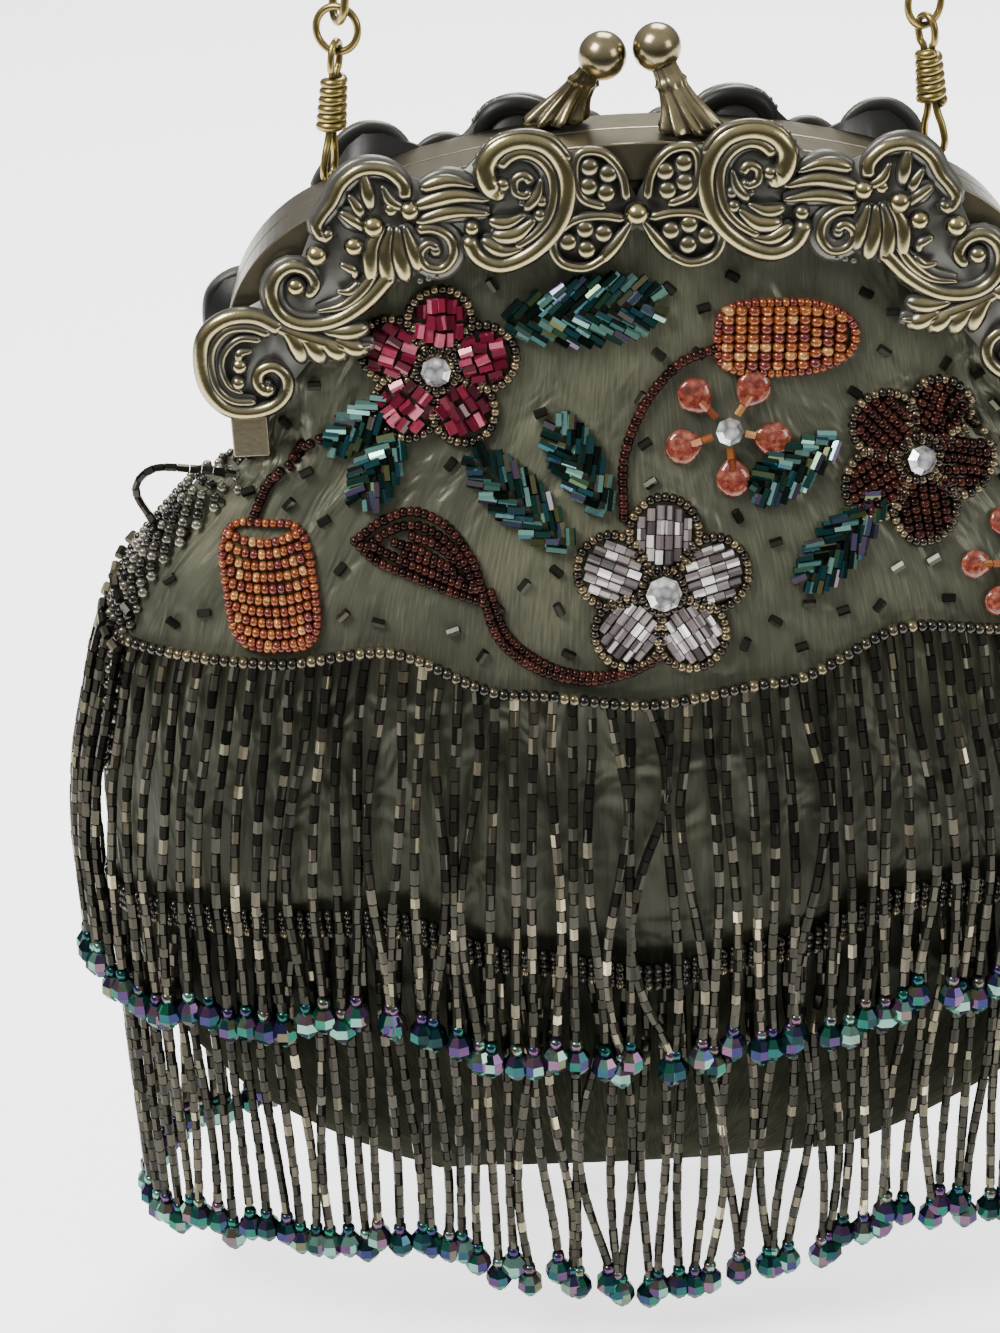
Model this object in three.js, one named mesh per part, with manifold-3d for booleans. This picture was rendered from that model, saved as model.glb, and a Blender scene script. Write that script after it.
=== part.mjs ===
// Beaded evening handbag: a hinged brass frame with cast scrollwork and a kiss lock, a gathered satin
// pouch with bead flowers, two tiers of bead fringe and a chain handle.
// Millimetres, +Z up, front towards -Y. The origin is the underside of the chain's apex, where the bag
// hangs. Everything below the chain is laid out from the middle of the frame's top, HANG_DROP lower.
import * as THREE from "three";
import { mergeVertices } from "three/addons/utils/BufferGeometryUtils.js";
import Module from "manifold-3d";

const wasm = await Module();
wasm.setup();

const GAP = 0.3; // clearance between neighbouring pieces
const HANG_DROP = 178; // frame top to the underside of the chain's apex

// Frame: two arched channels that meet at y = 0
const FRAME_HALF_WIDTH = 78;
const CORNER_RADIUS = 30;
const CROWN_RADIUS = 169;
const LEG_BOTTOM = -58;
const RAIL_DEPTH = 10;
const RAIL_WALL = 1.2;
const FLANGE_HEIGHT = 7;
const SEAM_HALF_GAP = 0.2;
const HINGE = { y: 3.5, z: -51, shaft: 1.1, head: 2.0, headThick: 0.8, earRadius: 3.2 };

// Scrollwork plate, in front of the flange
const PLATE_BACK = SEAM_HALF_GAP + RAIL_DEPTH + GAP;
const PLATE_THICK = 1.5;
const PLATE_FACE = PLATE_BACK + PLATE_THICK;

// Kiss lock
const BALL_RADIUS = 4.5;

// Handle
const WIRE = 1.4; // connector wire diameter
const RING = { radius: 4.0, wire: 1.4 };
const LINK = { halfWidth: 3.1, halfLength: 6.9, wire: 1.6, corners: 10 };
const END_TWIST = [32, -20]; // degrees that the right and left end link turn, to lie across the rings
const HOOK_X = 56.3; // where a connector hangs on its eye
const HOOK_Y = -4.6;
const HOOK_Z = -5.6;
const CONNECTOR_LEAN = THREE.MathUtils.degToRad(7);
const CONNECTOR_HEIGHT = 25.2; // hook wire to eye wire, between wire centres
const HANDLE_RADIUS = 33; // of the chain's arch

// Pouch: horizontal sections, each a superellipse
const POUCH_POWER = 2.3;
const POUCH_WALL = 1.5;
const MOUTH_INSET = 5.5; // cloth edge below the arch of the rail
const MOUTH_DEPTH = 8.5;
const LEG_REACH = 64; // further out than this the cloth stays inside the channel
const LEG_DEPTH = 7.8;
const POUCH_COLUMNS = 36;
const PLEAT_DEPTH = 1.2;
const PLEAT_TOP = -112;
const YOKE = [0, 0.12, 0.4, 0.7]; // shares of the way from the mouth to the first section
const SECTIONS = [
  { z: -66, halfWidth: 86, halfDepth: 19.5 },
  { z: -82, halfWidth: 101, halfDepth: 25 },
  { z: -100, halfWidth: 108, halfDepth: 29 },
  { z: -125, halfWidth: 112, halfDepth: 32.5 },
  { z: -150, halfWidth: 113, halfDepth: 34 },
  { z: -175, halfWidth: 110, halfDepth: 33 },
  { z: -195, halfWidth: 103, halfDepth: 29.5 },
  { z: -212, halfWidth: 91, halfDepth: 24 },
  { z: -226, halfWidth: 75, halfDepth: 16.5 },
  { z: -236, halfWidth: 60, halfDepth: 9 },
  { z: -243, halfWidth: 47, halfDepth: 2.4 },
];
// Gathers that run down from the corners of the frame
const GATHERS = [
  { angle: 20, halfAngle: 6, depth: 2.2 },
  { angle: 40, halfAngle: 6, depth: 1.4 },
  { angle: 140, halfAngle: 6, depth: 1.4 },
  { angle: 160, halfAngle: 6, depth: 2.2 },
];

// Wavy hems that carry the fringe: height at each distance from the middle
const UPPER_HEM = [
  { x: 0, z: -106 },
  { x: 25, z: -103 },
  { x: 52, z: -94 },
  { x: 74, z: -97 },
  { x: 120, z: -96 },
];
const LOWER_HEM = [
  { x: 0, z: -170 },
  { x: 25, z: -165 },
  { x: 52, z: -155 },
  { x: 80, z: -157 },
  { x: 120, z: -160 },
];
const FRINGE_LENGTH = 87;
const LOCK = { cover: 0.8, braidWidth: 12, thick: 1.6, endThick: 4.6, endHeight: 8 };
const HEM = { height: 4.4, near: 0.4, far: 1.8 };

const brass = { color: 0x6b6040, roughness: 0.35, metalness: 1 };
const satin = { color: 0x5b5c4b, roughness: 0.5, metalness: 0 };
const crystal = { color: 0xe8e6e2, roughness: 0.05, metalness: 0 };
const smokeBead = { color: 0x4a4436, roughness: 0.25, metalness: 0.4 };

const bag = new THREE.Group();
bag.position.z = -HANG_DROP;

function addPiece(parent, name, geometry, finish) {
  const mesh = new THREE.Mesh(geometry, new THREE.MeshStandardMaterial(finish));
  mesh.name = name;
  parent.add(mesh);
  return mesh;
}

// Booleans

function toSolid(geometry) {
  const bare = new THREE.BufferGeometry();
  bare.setAttribute("position", geometry.getAttribute("position"));
  bare.setIndex(geometry.index);
  const merged = mergeVertices(bare, 1e-4);
  return new wasm.Manifold(new wasm.Mesh({
    numProp: 3,
    vertProperties: merged.getAttribute("position").array,
    triVerts: Uint32Array.from(merged.index.array),
  }));
}

function toGeometry(solid) {
  const mesh = solid.getMesh();
  const geometry = new THREE.BufferGeometry();
  geometry.setAttribute("position", new THREE.BufferAttribute(mesh.vertProperties, mesh.numProp));
  geometry.setIndex(new THREE.BufferAttribute(mesh.triVerts, 1));
  return geometry;
}

function join(geometries, cuts = []) {
  let solid = geometries.map(toSolid).reduce((whole, next) => whole.add(next));
  for (const cut of cuts) solid = solid.subtract(toSolid(cut));
  return toGeometry(solid);
}

// Surface through rings of points, each ring with the same number of points. It closes on itself,
// or is capped by a fan at each end.
function skin(rings, closed = false) {
  const sides = rings[0].length;
  const points = rings.flat();
  const index = [];
  const spans = closed ? rings.length : rings.length - 1;
  for (let ring = 0; ring < spans; ring++) {
    const near = ring * sides;
    const far = ((ring + 1) % rings.length) * sides;
    for (let side = 0; side < sides; side++) {
      const next = (side + 1) % sides;
      index.push(near + side, far + side, far + next, near + side, far + next, near + next);
    }
  }
  if (!closed) {
    const first = points.length;
    const last = (rings.length - 1) * sides;
    for (const ring of [rings[0], rings.at(-1)]) {
      const middle = ring.reduce((sum, p) => sum.add(p), new THREE.Vector3());
      points.push(middle.divideScalar(sides));
    }
    for (let side = 0; side < sides; side++) {
      const next = (side + 1) % sides;
      index.push(first, side, next, first + 1, last + next, last + side);
    }
  }
  let volume = 0;
  for (let i = 0; i < index.length; i += 3) {
    const [a, b, c] = index.slice(i, i + 3).map((k) => points[k]);
    volume += a.dot(new THREE.Vector3().crossVectors(b, c));
  }
  if (volume < 0) index.reverse();
  const geometry = new THREE.BufferGeometry().setFromPoints(points);
  geometry.setIndex(index);
  return geometry;
}

// Tube along a route in the XZ plane, with a radius for each point
function planarTube(route, radii, sides, { closed = false, phase = 0.5 } = {}) {
  const rings = route.map((point, i) => {
    const before = closed ? route.at(i - 1) : route[Math.max(i - 1, 0)];
    const after = closed ? route[(i + 1) % route.length] : route[Math.min(i + 1, route.length - 1)];
    const along = new THREE.Vector3(after.x - before.x, 0, after.z - before.z).normalize();
    const radius = Array.isArray(radii) ? radii[i] : radii;
    return Array.from({ length: sides }, (_, k) => {
      const angle = (2 * Math.PI * (k + phase)) / sides;
      const across = Math.cos(angle) * radius;
      return new THREE.Vector3(
        point.x + along.z * across,
        (point.y ?? 0) + Math.sin(angle) * radius,
        point.z - along.x * across,
      );
    });
  });
  return skin(rings, closed);
}

// Plate with its outline in the XZ plane, from y = back to y = back - depth
function frontPlate(shape, back, depth, curveSegments = 7) {
  const geometry = new THREE.ExtrudeGeometry(shape, { depth, bevelEnabled: false, curveSegments });
  geometry.deleteAttribute("normal");
  geometry.deleteAttribute("uv");
  return mergeVertices(geometry.rotateX(Math.PI / 2).translate(0, back, 0), 1e-4);
}

function turnToBack(geometry) {
  return geometry.clone().rotateZ(Math.PI);
}

// Frame

const cornerX = FRAME_HALF_WIDTH - CORNER_RADIUS;
const cornerRise = Math.sqrt((CROWN_RADIUS - CORNER_RADIUS) ** 2 - cornerX ** 2);
const cornerZ = cornerRise - CROWN_RADIUS;
const meetAngle = Math.atan2(cornerRise, cornerX);

// The frame's arch from the foot of the right leg over the crown to the left leg, moved in by inset
function archPath(inset) {
  const x = FRAME_HALF_WIDTH - inset;
  const corner = CORNER_RADIUS - inset;
  const path = new THREE.Path();
  path.moveTo(x, LEG_BOTTOM);
  path.lineTo(x, cornerZ);
  path.absarc(cornerX, cornerZ, corner, 0, meetAngle);
  path.absarc(0, -CROWN_RADIUS, CROWN_RADIUS - inset, meetAngle, Math.PI - meetAngle);
  path.absarc(-cornerX, cornerZ, corner, Math.PI - meetAngle, Math.PI);
  path.lineTo(-x, LEG_BOTTOM);
  return path;
}

function archBand(width) {
  const outer = archPath(0).getPoints(4);
  const inner = archPath(width).getPoints(4).reverse();
  return new THREE.Shape([...outer, ...inner]);
}

function railTop(x) {
  return Math.sqrt(CROWN_RADIUS ** 2 - x ** 2) - CROWN_RADIUS;
}

function boxBetween(low, high) {
  const size = new THREE.Vector3().subVectors(high, low);
  const middle = new THREE.Vector3().addVectors(low, high).divideScalar(2);
  return new THREE.BoxGeometry(size.x, size.y, size.z).translate(middle.x, middle.y, middle.z);
}

// Round bar along X
function crossBar(radius, fromX, toX, y, z, sides = 10) {
  const bar = new THREE.CylinderGeometry(radius, radius, toX - fromX, sides);
  return bar.rotateZ(Math.PI / 2).translate((fromX + toX) / 2, y, z);
}

function buildRail() {
  const flangeBack = -SEAM_HALF_GAP - RAIL_DEPTH + RAIL_WALL;
  return [
    frontPlate(archBand(RAIL_WALL), -SEAM_HALF_GAP, RAIL_DEPTH),
    frontPlate(archBand(FLANGE_HEIGHT), flangeBack, RAIL_WALL),
  ];
}

// The front half carries an ear inside each leg, which reaches past the seam to the hinge pin, and
// the two eyes that the chain's connectors hang on.
function buildFrontRail() {
  const pieces = buildRail();
  const earOut = FRAME_HALF_WIDTH - RAIL_WALL - GAP;
  const earIn = earOut - RAIL_WALL;
  const cuts = [];
  for (const side of [-1, 1]) {
    const mirrored = (a, b) => [Math.min(side * a, side * b), Math.max(side * a, side * b)];
    const [earLow, earHigh] = mirrored(earIn, earOut);
    const [rootLow, rootHigh] = mirrored(earIn, earOut + 2 * GAP);
    const low = HINGE.z - HINGE.earRadius;
    const high = HINGE.z + HINGE.earRadius;
    pieces.push(
      crossBar(HINGE.earRadius, earLow, earHigh, HINGE.y, HINGE.z),
      boxBetween(new THREE.Vector3(earLow, -7, low), new THREE.Vector3(earHigh, HINGE.y, high)),
      boxBetween(new THREE.Vector3(rootLow, -7, low), new THREE.Vector3(rootHigh, -2, high)),
    );
    cuts.push(crossBar(HINGE.shaft + GAP, earLow - 1, earHigh + 1, HINGE.y, HINGE.z));
    pieces.push(eyeStaple().translate(side * HOOK_X, HOOK_Y, railTop(HOOK_X)));
  }
  return join(pieces, cuts);
}

// Half ring that stands on the rail, in the XZ plane
function eyeStaple() {
  const radius = 2.6;
  const foot = -2.4;
  const arch = Array.from({ length: 6 }, (_, i) => {
    const angle = (Math.PI * i) / 5;
    return { x: radius * Math.cos(angle), z: 4.2 + radius * Math.sin(angle) };
  });
  const route = [{ x: radius, z: foot }, ...arch, { x: -radius, z: foot }];
  return planarTube(route, 0.7, 5);
}

function buildBackRail() {
  const pieces = buildRail().map(turnToBack);
  const cuts = [-1, 1].map((side) => {
    const middle = side * FRAME_HALF_WIDTH;
    return crossBar(HINGE.shaft + GAP, middle - 3, middle + 3, HINGE.y, HINGE.z);
  });
  return join(pieces, cuts);
}

// Rivet with a head at each end, along X
function buildHingePin(side) {
  const inner = FRAME_HALF_WIDTH - 2 * (RAIL_WALL + GAP);
  const outer = FRAME_HALF_WIDTH + GAP;
  const profile = [
    [0, inner - HINGE.headThick],
    [HINGE.head, inner - HINGE.headThick],
    [HINGE.head, inner],
    [HINGE.shaft, inner],
    [HINGE.shaft, outer],
    [HINGE.head, outer],
    [HINGE.head * 0.6, outer + HINGE.headThick],
    [0, outer + HINGE.headThick],
  ].map(([radius, x]) => new THREE.Vector2(radius, x));
  const pin = new THREE.LatheGeometry(profile, 8);
  return pin.rotateZ((-side * Math.PI) / 2).translate(0, HINGE.y, HINGE.z);
}

addPiece(bag, "rail_front", buildFrontRail(), brass);
addPiece(bag, "rail_back", buildBackRail(), brass);
addPiece(bag, "hinge_pin_left", buildHingePin(-1), brass);
addPiece(bag, "hinge_pin_right", buildHingePin(1), brass);

// Scrollwork. Both halves of the design mirror each other, so only x > 0 is listed.

// Edges of the plate at each distance from the middle
const BAND = [
  { x: 0, high: -8.5, low: -16.5 }, // butterfly
  { x: 4, high: -1.2, low: -20.5 },
  { x: 8, high: -0.6, low: -22.6 },
  { x: 12, high: -1.5, low: -22 },
  { x: 15, high: 2, low: -19.6 }, // C-scroll
  { x: 21, high: 4.8, low: -20.8 },
  { x: 27, high: 2, low: -18.2 },
  { x: 31, high: -4, low: -14 },
  { x: 34, high: -5, low: -21 }, // shell curl
  { x: 39, high: -5.6, low: -22.4 },
  { x: 44, high: -8, low: -19 },
  { x: 50, high: -8.8, low: -23 }, // S-scroll
  { x: 55, high: -8.8, low: -35 },
  { x: 60, high: -12, low: -37 },
  { x: 66, high: -16.5, low: -46 }, // end volute
  { x: 70, high: -18.6, low: -49 },
  { x: 73, high: -24, low: -50.2 },
  { x: 79, high: -28.6, low: -48.6 },
  { x: 82.9, high: -36.5, low: -41 },
];
const CORNER_LOOP = { x: 50.5, z: -5.5, rx: 7.6, rz: 4.8, hole: 0.6 };
const SCROLLS = [
  { x: 74.3, z: -38.5, outer: 10.6, inner: 2.6, squeeze: 0.78, start: 117, sweep: -430, ridge: 1.2 },
  { x: 63.4, z: -24, outer: 6.6, inner: 1.6, squeeze: 1, start: 215, sweep: -420, ridge: 1.0 },
  { x: 37.5, z: -17.5, outer: 4.2, inner: 1.2, squeeze: 1, start: 60, sweep: -400, ridge: 0.9 },
  { x: 21, z: -8, outer: 11.6, inner: 2.6, squeeze: 0.8, start: 250, sweep: -440, ridge: 1.3 },
];
const BERRIES = [
  { x: 59, z: -17.8, radius: 1.8 },
  { x: 48.5, z: -12.5, radius: 2 },
  { x: 44, z: -9.5, radius: 1.7 },
  { x: 53, z: -15.5, radius: 1.7 },
  { x: 76, z: -36, radius: 1.5 },
];
const WING_DOTS = [
  { x: 4.6, z: -8.2 },
  { x: 8.4, z: -8.4 },
  { x: 4.8, z: -4 },
  { x: 8.6, z: -3.8 },
  { x: 5.6, z: -15.8 },
  { x: 9.8, z: -15.8 },
  { x: 8, z: -19.4 },
  { x: 12, z: -18.6 },
];
const BUTTERFLY_BALL = { x: 0, z: -12.5, radius: 2.2 };
const WING_DOT_RADIUS = 1.8;
const SET_OUT = 0.75; // the middles of berries and studs stand this far out from the plate

function ellipseOutline({ rx, rz }, sides) {
  return Array.from({ length: sides }, (_, i) => {
    const angle = (2 * Math.PI * i) / sides;
    return new THREE.Vector2(rx * Math.cos(angle), rz * Math.sin(angle));
  });
}

function bandPlate() {
  const half = [
    ...BAND.map(({ x, high }) => new THREE.Vector2(x, high)),
    ...BAND.map(({ x, low }) => new THREE.Vector2(x, low)).reverse(),
  ];
  const mirrored = half.slice(1, -1).reverse().map(({ x, y }) => new THREE.Vector2(-x, y));
  return frontPlate(new THREE.Shape([...half, ...mirrored]), -PLATE_BACK, PLATE_THICK);
}

// Pierced loop at the corner, with a bar across its window
function cornerLoop(side) {
  const shape = new THREE.Shape(ellipseOutline(CORNER_LOOP, 10));
  const window = { rx: CORNER_LOOP.rx * CORNER_LOOP.hole, rz: CORNER_LOOP.rz * CORNER_LOOP.hole };
  shape.holes.push(new THREE.Path(ellipseOutline(window, 8).reverse()));
  const loop = frontPlate(shape, -PLATE_BACK, PLATE_THICK + 0.8);
  const bar = boxBetween(
    new THREE.Vector3(-0.8, -PLATE_FACE, -CORNER_LOOP.rz + 1),
    new THREE.Vector3(0.8, -PLATE_BACK, CORNER_LOOP.rz - 1),
  );
  return [loop, bar].map((part) => part.translate(side * CORNER_LOOP.x, 0, CORNER_LOOP.z));
}

function scrollRidge(scroll, side) {
  const steps = Math.round(Math.abs(scroll.sweep) / 60);
  const route = [];
  const radii = [];
  for (let i = 0; i <= steps; i++) {
    const share = i / steps;
    const angle = THREE.MathUtils.degToRad(scroll.start + scroll.sweep * share);
    const radius = THREE.MathUtils.lerp(scroll.outer, scroll.inner, share ** 0.8);
    const x = scroll.x + radius * scroll.squeeze * Math.cos(angle);
    route.push({ x: side * x, y: -PLATE_FACE, z: scroll.z + radius * Math.sin(angle) });
    radii.push(scroll.ridge * (1 - 0.35 * share));
  }
  return planarTube(route, radii, 3, { phase: 0.25 });
}

function berry(radius, x, z) {
  return new THREE.IcosahedronGeometry(radius, 0).translate(x, -PLATE_FACE - SET_OUT, z);
}

// Pointed stud on a butterfly wing
function wingDot(x, z) {
  return new THREE.OctahedronGeometry(WING_DOT_RADIUS).translate(x, -PLATE_FACE - SET_OUT, z);
}

// The back half is the same casting with its two large scrolls alone
function buildScrollwork(full) {
  const pieces = [bandPlate()];
  const scrolls = full ? SCROLLS : SCROLLS.filter(({ outer }) => outer > 10);
  for (const side of [-1, 1]) {
    pieces.push(...cornerLoop(side), ...scrolls.map((scroll) => scrollRidge(scroll, side)));
    if (!full) continue;
    pieces.push(...BERRIES.map(({ x, z, radius }) => berry(radius, side * x, z)));
    pieces.push(...WING_DOTS.map(({ x, z }) => wingDot(side * x, z)));
  }
  pieces.push(berry(BUTTERFLY_BALL.radius, BUTTERFLY_BALL.x, BUTTERFLY_BALL.z));
  return join(pieces);
}

addPiece(bag, "scrollwork_front", buildScrollwork(true), brass);
addPiece(bag, "scrollwork_back", turnToBack(buildScrollwork(false)), brass);

// Kiss lock: a fluted foot on the rail that sweeps up to a ball
const CLASP_RINGS = [
  { share: 0, radius: 4.6, flute: 0.16 },
  { share: 0.12, radius: 4.2, flute: 0.18 },
  { share: 0.4, radius: 3.0, flute: 0.16 },
  { share: 0.7, radius: 2.2, flute: 0.06 },
  { share: 1, radius: 1.9, flute: 0 },
];

function buildClasp(foot, ball) {
  const elbow = new THREE.Vector3(
    THREE.MathUtils.lerp(foot.x, ball.x, 0.45),
    foot.y,
    THREE.MathUtils.lerp(foot.z, ball.z, 0.4),
  );
  const spine = new THREE.QuadraticBezierCurve3(foot, elbow, ball);
  const sides = 8;
  const rings = CLASP_RINGS.map(({ share, radius, flute }) => {
    const middle = spine.getPoint(share);
    return Array.from({ length: sides }, (_, k) => {
      const angle = (2 * Math.PI * k) / sides;
      const reach = radius * (1 + (k % 2 ? -flute : flute));
      const tilt = share * (ball.x - foot.x > 0 ? -0.5 : 0.5);
      return new THREE.Vector3(
        middle.x + reach * Math.cos(angle),
        middle.y + reach * Math.sin(angle) * 0.8,
        middle.z + reach * Math.cos(angle) * tilt,
      );
    });
  });
  const sphere = new THREE.SphereGeometry(BALL_RADIUS, 10, 7).rotateX(Math.PI / 2);
  return join([skin(rings), sphere.translate(ball.x, ball.y, ball.z)]);
}

const claspLift = GAP + 0.1;
const frontFoot = new THREE.Vector3(11, -5.2, claspLift);
const frontBall = new THREE.Vector3(4.95, -0.6, 14.8);
const backFoot = new THREE.Vector3(-14, 5.2, claspLift);
const backBall = new THREE.Vector3(-4.95, 0.6, 13.4);
addPiece(bag, "clasp_front", buildClasp(frontFoot, frontBall), brass);
addPiece(bag, "clasp_back", buildClasp(backFoot, backBall), brass);

// Handle

// Wire-wrapped hook: a long loop in the XZ plane with a coil round its waist, from the hook wire at
// z = 0 to the eye wire at CONNECTOR_HEIGHT
const CONNECTOR_OUTLINE = [
  { x: 0, z: 0 },
  { x: 1.9, z: 0.5 },
  { x: 2.7, z: 2.2 },
  { x: 2.3, z: 5 },
  { x: 1.0, z: 9 },
  { x: 0.9, z: 18.5 },
  { x: 1.9, z: 20.5 },
  { x: 2.1, z: 23 },
  { x: 1.3, z: 24.7 },
  { x: 0, z: CONNECTOR_HEIGHT },
];
const COIL = { bottom: 8.6, top: 19.2, bottomRadius: 2.6, topRadius: 1.9, turns: 4, groove: 0.5 };

function buildConnector() {
  const mirrored = CONNECTOR_OUTLINE.slice(1, -1).reverse();
  const route = [...CONNECTOR_OUTLINE, ...mirrored.map(({ x, z }) => ({ x: -x, z }))];
  const loop = planarTube(route, WIRE / 2, 5, { closed: true });
  const profile = [new THREE.Vector2(0, COIL.bottom)];
  for (let i = 0; i <= 2 * COIL.turns; i++) {
    const share = i / (2 * COIL.turns);
    const radius = THREE.MathUtils.lerp(COIL.bottomRadius, COIL.topRadius, share);
    const height = THREE.MathUtils.lerp(COIL.bottom, COIL.top, share);
    profile.push(new THREE.Vector2(i % 2 ? radius : radius - COIL.groove, height));
  }
  profile.push(new THREE.Vector2(0, COIL.top));
  const coil = new THREE.LatheGeometry(profile, 6).rotateX(Math.PI / 2);
  return join([loop, coil]);
}

function buildRing() {
  const route = Array.from({ length: 12 }, (_, i) => {
    const angle = (2 * Math.PI * i) / 12;
    return { x: RING.radius * Math.cos(angle), z: RING.radius * Math.sin(angle) };
  });
  return planarTube(route, RING.wire / 2, 5, { closed: true });
}

// Oval link in the XZ plane, long along X
function buildLink() {
  const straight = LINK.halfLength - LINK.halfWidth;
  const route = Array.from({ length: LINK.corners }, (_, i) => {
    const angle = (2 * Math.PI * (i + 0.5)) / LINK.corners;
    const shift = Math.sign(Math.cos(angle)) * straight;
    return { x: LINK.halfWidth * Math.cos(angle) + shift, z: LINK.halfWidth * Math.sin(angle) };
  });
  return planarTube(route, LINK.wire / 2, 5, { closed: true });
}

// Each connector leans inward and is turned so that its loop lies across the rail. The ring hangs in
// the loop's eye, and the chain's end link in the ring.
const connectorShape = buildConnector();
const ringShape = buildRing();
const wireClear = (a, b) => (a + b) / 2 + GAP + 0.1;
const ringRise = CONNECTOR_HEIGHT - wireClear(WIRE, RING.wire) + RING.radius;
const chainRise = ringRise + RING.radius - wireClear(RING.wire, LINK.wire);
const chainFoot = new THREE.Vector2(
  HOOK_X - chainRise * Math.sin(CONNECTOR_LEAN),
  HOOK_Z + chainRise * Math.cos(CONNECTOR_LEAN),
);

for (const [side, word, twist] of [[-1, "left", 70], [1, "right", 58]]) {
  const hanger = new THREE.Group();
  hanger.position.set(side * HOOK_X, HOOK_Y, HOOK_Z);
  hanger.rotation.y = -side * CONNECTOR_LEAN;
  bag.add(hanger);
  const connector = addPiece(hanger, `connector_${word}`, connectorShape.clone(), brass);
  connector.rotation.z = THREE.MathUtils.degToRad(twist) * -side;
  const ring = addPiece(hanger, `ring_${word}`, ringShape.clone(), brass);
  ring.position.z = ringRise;
  ring.rotation.z = THREE.MathUtils.degToRad(twist - 90) * -side;
}

// The chain rises from both rings, closes in and runs over an arch.
function chainRoute() {
  const apexUnder = HANG_DROP + LINK.halfWidth + LINK.wire / 2;
  const springing = apexUnder - HANDLE_RADIUS;
  const points = [new THREE.Vector3(chainFoot.x, HOOK_Y, chainFoot.y)];
  const rise = 3;
  for (let i = 1; i < rise; i++) {
    const share = i / rise;
    points.push(new THREE.Vector3(
      THREE.MathUtils.lerp(chainFoot.x, HANDLE_RADIUS, share),
      THREE.MathUtils.lerp(HOOK_Y, 0, share),
      THREE.MathUtils.lerp(chainFoot.y, springing, share),
    ));
  }
  const archSteps = 8;
  for (let i = 0; i <= archSteps / 2; i++) {
    const angle = (Math.PI * i) / archSteps;
    points.push(new THREE.Vector3(
      HANDLE_RADIUS * Math.cos(angle),
      0,
      springing + HANDLE_RADIUS * Math.sin(angle),
    ));
  }
  const mirrored = points.slice(0, -1).reverse();
  return new THREE.CatmullRomCurve3([
    ...points,
    ...mirrored.map((p) => new THREE.Vector3(-p.x, p.y, p.z)),
  ]);
}

// The end links hold the rings. Between them a tube of the chain's own girth stands for the other links.
function buildChain() {
  const route = chainRoute();
  const reach = LINK.halfWidth + LINK.wire / 2;
  const pitch = 2 * LINK.halfLength - LINK.wire;
  const span = route.getLength();
  const links = [pitch / 2 / span, 1 - pitch / 2 / span].map((share, end) => {
    const along = route.getTangentAt(share);
    const face = new THREE.Vector3(0, 1, 0).addScaledVector(along, -along.y).normalize();
    const basis = new THREE.Matrix4().makeBasis(along, face, new THREE.Vector3().crossVectors(along, face));
    const turn = new THREE.Matrix4().makeRotationX(Math.PI / 2 + THREE.MathUtils.degToRad(END_TWIST[end]));
    return buildLink().applyMatrix4(basis.multiply(turn).setPosition(route.getPointAt(share)));
  });
  const inset = (pitch - LINK.wire) / span;
  const steps = 18;
  const middle = Array.from({ length: steps + 1 }, (_, i) =>
    route.getPointAt(THREE.MathUtils.lerp(inset, 1 - inset, i / steps)));
  const sides = 8;
  const tube = planarTube(middle, reach / Math.cos(Math.PI / sides), sides);
  return join([tube, ...links]);
}

addPiece(bag, "chain", buildChain(), brass);

// Pouch

function sectionAt(z) {
  const below = SECTIONS.findIndex((section) => section.z <= z);
  if (below === 0) return SECTIONS[0];
  if (below < 0) return SECTIONS.at(-1);
  const high = SECTIONS[below - 1];
  const low = SECTIONS[below];
  const share = (high.z - z) / (high.z - low.z);
  return {
    halfWidth: THREE.MathUtils.lerp(high.halfWidth, low.halfWidth, share),
    halfDepth: THREE.MathUtils.lerp(high.halfDepth, low.halfDepth, share),
  };
}

// Point of a superellipse; angle 0 is the right side seam and 90 degrees the middle of the front
function outlinePoint(angle, halfWidth, halfDepth, z) {
  const power = 2 / POUCH_POWER;
  const cos = Math.cos(angle);
  const sin = Math.sin(angle);
  return new THREE.Vector3(
    halfWidth * Math.sign(cos) * Math.abs(cos) ** power,
    -halfDepth * Math.sign(sin) * Math.abs(sin) ** power,
    z,
  );
}

const mouthPath = archPath(MOUTH_INSET);

function mouthPoint(angle) {
  const turn = Math.abs(angle) / Math.PI;
  const point = mouthPath.getPointAt(turn <= 1 ? turn : 2 - turn);
  const opening = Math.min(1, Math.abs(Math.sin(angle)) * 2.4) ** 0.7;
  return new THREE.Vector3(point.x, -Math.sign(Math.sin(angle)) * MOUTH_DEPTH * opening, point.y);
}

function gatherDepth(angle) {
  const degrees = THREE.MathUtils.radToDeg(angle) % 180;
  return GATHERS.reduce((sum, gather) => {
    const off = (degrees - gather.angle) / gather.halfAngle;
    return sum + gather.depth * Math.exp(-off * off);
  }, 0);
}

function columnAngle(column) {
  return (2 * Math.PI * column) / POUCH_COLUMNS;
}

function pouchRing(halfWidth, halfDepth, z, shrink) {
  return Array.from({ length: POUCH_COLUMNS }, (_, column) => {
    const pleat = column % 2 && z < PLEAT_TOP ? PLEAT_DEPTH * Math.min(1, halfDepth / 20) : 0;
    const inward = shrink + pleat;
    const depth = Math.max(halfDepth - inward, 0.9);
    return outlinePoint(columnAngle(column), halfWidth - inward, depth, z);
  });
}

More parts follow.
